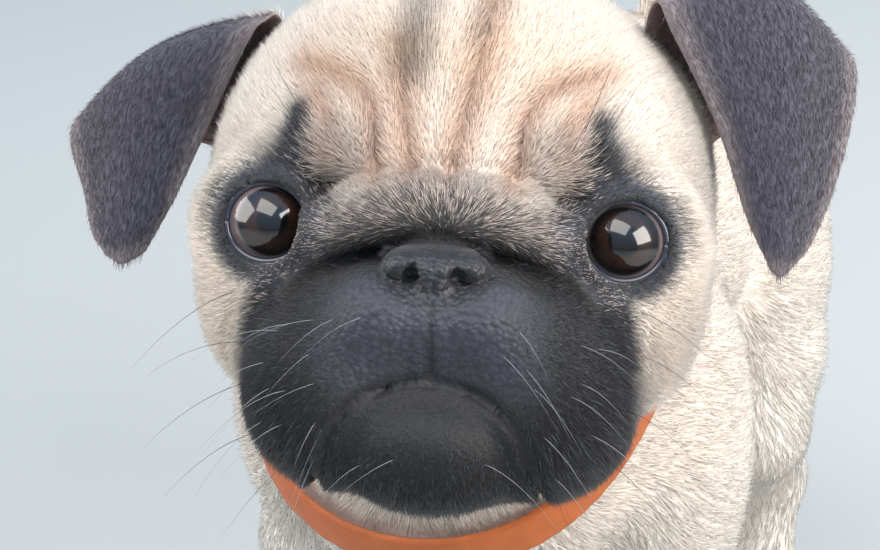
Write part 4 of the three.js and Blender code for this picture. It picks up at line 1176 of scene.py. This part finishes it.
def scatter(points, faces, density):
    """Roots spread evenly over triangles, and the triangle that each lies on."""
    a, b, c = points[faces[:, 0]], points[faces[:, 1]], points[faces[:, 2]]
    area = size(np.cross(b - a, c - a)) / 2
    count = np.floor(area * density + rng.random(len(faces))).astype(int)
    chosen = np.repeat(np.arange(len(faces)), count)
    u, v = rng.random(len(chosen)), rng.random(len(chosen))
    u, v = np.where(u + v > 1, 1 - u, u), np.where(u + v > 1, 1 - v, v)
    weights = np.stack([1 - u - v, u, v], 1)
    return (points[faces[chosen]] * weights[..., None]).sum(1), chosen, weights


def skin_normals():
    normals = np.empty(len(skin.data.vertices) * 3, np.float32)
    skin.data.vertices.foreach_get("normal", normals)
    return normals.reshape(-1, 3).astype(float)


def turned_about(normals, ways, angle):
    side = np.cross(normals, ways)
    return ways * np.cos(angle)[:, None] + side * np.sin(angle)[:, None]


def under_collar(p):
    """Where the collar covers the skin of the neck, so that nothing grows."""
    height = (p - COLLAR_AT) @ COLLAR_UP
    return (height > -COLLAR_WIDTH / 2 - 0.3) & (height < COLLAR_WIDTH / 2 + 0.4) & (p[:, 2] > 100)


def waves(p):
    """A slow wave from -1 to 1 over the skin, so that the coat doesn't lie too evenly."""
    return np.sin(p[:, 0] * 0.13 + 2 * np.sin(p[:, 2] * 0.07)) * np.sin(p[:, 1] * 0.11 + p[:, 2] * 0.05)


def grow_coat():
    normals = skin_normals()
    middle = skin_points[skin_faces].mean(1)
    length, width, lift, way, face, head, muzzle = coat_fields(middle, normals[skin_faces[:, 0]])
    q = head_local(middle)
    # Tufts for a square millimetre: on the body, the head, the face, and the muzzle with its barer middle
    density = between(between(0.95, 5.5, head), 8, face)
    density = between(density, 10 - 6.5 * pebble_share(q) * (1 - ramp(-q[:, 2], 25, 31)), muzzle)
    density *= 1 - 0.35 * head * ramp(q[:, 1], 30, 60)
    m = mirrored(q)
    inside_lids = (size(m - EYE_AT) < EYE_RADIUS + 1.5) & (eye_away(m) < 8.6)
    lines = np.maximum(crease(m, MOUTH) / 2.4, crease(m, PHILTRUM) / 1.8)
    sole = (middle[:, 2] < 2) & (normals[skin_faces[:, 0]][:, 2] < -0.5)
    bare = (nose_share(q) > 0.3) | (lines > 0.45) | inside_lids | sole
    density[bare | under_collar(middle)] = 0
    roots, chosen, weights = scatter(skin_points, skin_faces, density)
    n = unit((normals[skin_faces[chosen]] * weights[..., None]).sum(1))
    length, width, lift, way, face, head, muzzle = coat_fields(roots, n)
    count = len(roots)
    way = turned_about(n, way, np.radians(rng.normal(0, 9, count) + 16 * waves(roots)))
    length = length * rng.uniform(0.7, 1.2, count)
    width = width * rng.uniform(0.8, 1.25, count)
    lift = lift * rng.uniform(0.5, 1.5, count)
    colour, dark, silver_share = markings_and_painted_light(roots + rng.normal(0, 0.5, (count, 3)))
    pick = rng.random(count)
    silver = (pick < silver_share * 0.64) & (dark > 0.2)
    colour = np.where(silver[:, None], SILVER, colour)
    pale = (pick > 0.93) & (dark > 0.9)
    colour = np.where(pale[:, None], GREY_HAIR, colour)
    brown = (pick > 0.9) & (dark < 0.2)
    colour = np.where(brown[:, None], colour * 0.8, colour)
    contrast = 1 + 1.5 * ramp(dark, 0.6, 0.95)
    colour = colour * (1 + rng.uniform(-0.14, 0.12, count) * contrast)[:, None]
    order = np.argsort(-head + 0.3 * (roots[:, 1] > 0), kind="stable")
    pieces = [x[order] for x in (roots, n, way, length, width, lift, colour, unwrap(roots))]
    add_tufts("coat", *pieces, "body_coat")


def grow_ear_coat(name, sheet, normal, way, corner):
    """Tufts on both faces of an ear. corner is where its patch of the unwrap starts."""
    flat = sheet.reshape(-1, 3)
    faces = grid_faces(EAR_ALONG, EAR_ACROSS)
    rows = []
    for face, density in ((1, 4.2), (-1, 2.2)):
        roots, chosen, weights = scatter(flat, faces, np.full(len(faces), density))
        n, w = [unit((v.reshape(-1, 3)[faces[chosen]] * weights[..., None]).sum(1)) for v in (normal, way)]
        n = n * face
        d, c = [(v.ravel()[faces[chosen]] * weights).sum(1) for v in (EAR_DOWN, EAR_OVER)]
        roots = roots + n * ear_half_thickness(d, c)[:, None]
        count = len(roots)
        colour = ear_colours(d, c, face > 0) * rng.uniform(0.75, 1.25, count)[:, None]
        place = np.stack([corner[0] + 0.11 * c + (0.12 if face < 0 else 0), corner[1] + 0.2 * d], 1)
        length = rng.uniform(1.7, 3, count) * (1 + 0.5 * (1 - ramp(d, 0.1, 0.3)))
        w = turned_about(n, w, np.radians(rng.normal(0, 12, count)))
        width = rng.uniform(0.12, 0.2, count)
        lift = np.radians(rng.uniform(8, 24, count))
        rows.append((roots, n, w, length, width, lift, colour, place))
    add_tufts(name, *[np.concatenate(x) for x in zip(*rows)], "ear_coat")


EARS = (("ear_left", LEFT_EAR, 1, (0.51, 0.79)), ("ear_right", RIGHT_EAR, -1, (0.76, 0.79)))
for name, rows, sign, corner in EARS:
    grow_ear_coat(name + "_coat", *make_ear(name, rows, sign), corner)
grow_coat()

# Camera and light
camera_data = bpy.data.cameras.new("camera")
camera_data.sensor_width = 36
camera_data.lens = FOCAL / IMAGE[0] * 36
camera_data.clip_start = 0.01
camera = bpy.data.objects.new("camera", camera_data)
collection.objects.link(camera)
turned = np.eye(4)
turned[:3, 0], turned[:3, 1], turned[:3, 2] = right, up, back
turned[:3, 3] = (camera_at + PLACE) / 1000
camera.matrix_world = Matrix(turned.tolist())
bpy.context.scene.camera = camera


def lamp(name, at, aim, sides, power, colour):
    data = bpy.data.lights.new(name, "AREA")
    data.shape = "RECTANGLE"
    data.size, data.size_y = sides
    data.energy = power
    data.color = colour
    light = bpy.data.objects.new(name, data)
    collection.objects.link(light)
    way = Vector(aim) - Vector(at)
    light.rotation_mode = "QUATERNION"
    light.rotation_quaternion = way.to_track_quat("-Z", "Y")
    light.location = at


lamp("key", (-0.12, -0.62, 1.3), (0, -0.12, 0.2), (1.2, 0.8), 13, (1, 0.94, 0.87))
lamp("fill", (1.0, -0.3, 0.7), (0.02, -0.02, 0.16), (0.8, 0.8), 17, (1, 0.95, 0.9))
lamp("left", (-1.05, -0.4, 0.65), (0, -0.08, 0.2), (0.8, 0.8), 9, (1, 0.95, 0.9))
lamp("rear", (0.3, 0.9, 1.0), (0, -0.05, 0.18), (0.9, 0.6), 12, (1, 0.95, 0.9))

# The room: pale blue above, darker towards the floor
GROUND, SKY = (0.32, 0.33, 0.34, 1), (0.5, 0.72, 1, 1)
room = Nodes("world", bpy.data.worlds, "Background")
split = room.add("ShaderNodeSeparateXYZ")
room.link(room.add("ShaderNodeTexCoord").outputs["Generated"], split.inputs[0])
fade = room.add("ShaderNodeMapRange", From_Min=-0.1, From_Max=0.8)
room.link(split.outputs["Z"], fade.inputs["Value"])
room.link(room.mixed(fade.outputs["Result"], GROUND, SKY), room.shader.inputs["Color"])
room.set(Strength=1.0)
bpy.context.scene.world = room.owner
bpy.context.scene.view_settings.view_transform = "Standard"

FLOOR = 4000
floor_corners = [(-FLOOR, -FLOOR, 0), (FLOOR, -FLOOR, 0), (FLOOR, FLOOR, 0), (-FLOOR, FLOOR, 0)]
floor = mesh_object("floor", floor_corners, [(0, 1, 2), (0, 2, 3)])
floor_look = Nodes("floor")
floor_look.set(Base_Color=(0.36, 0.37, 0.36, 1), Roughness=0.8)
floor.data.materials.append(floor_look.owner)
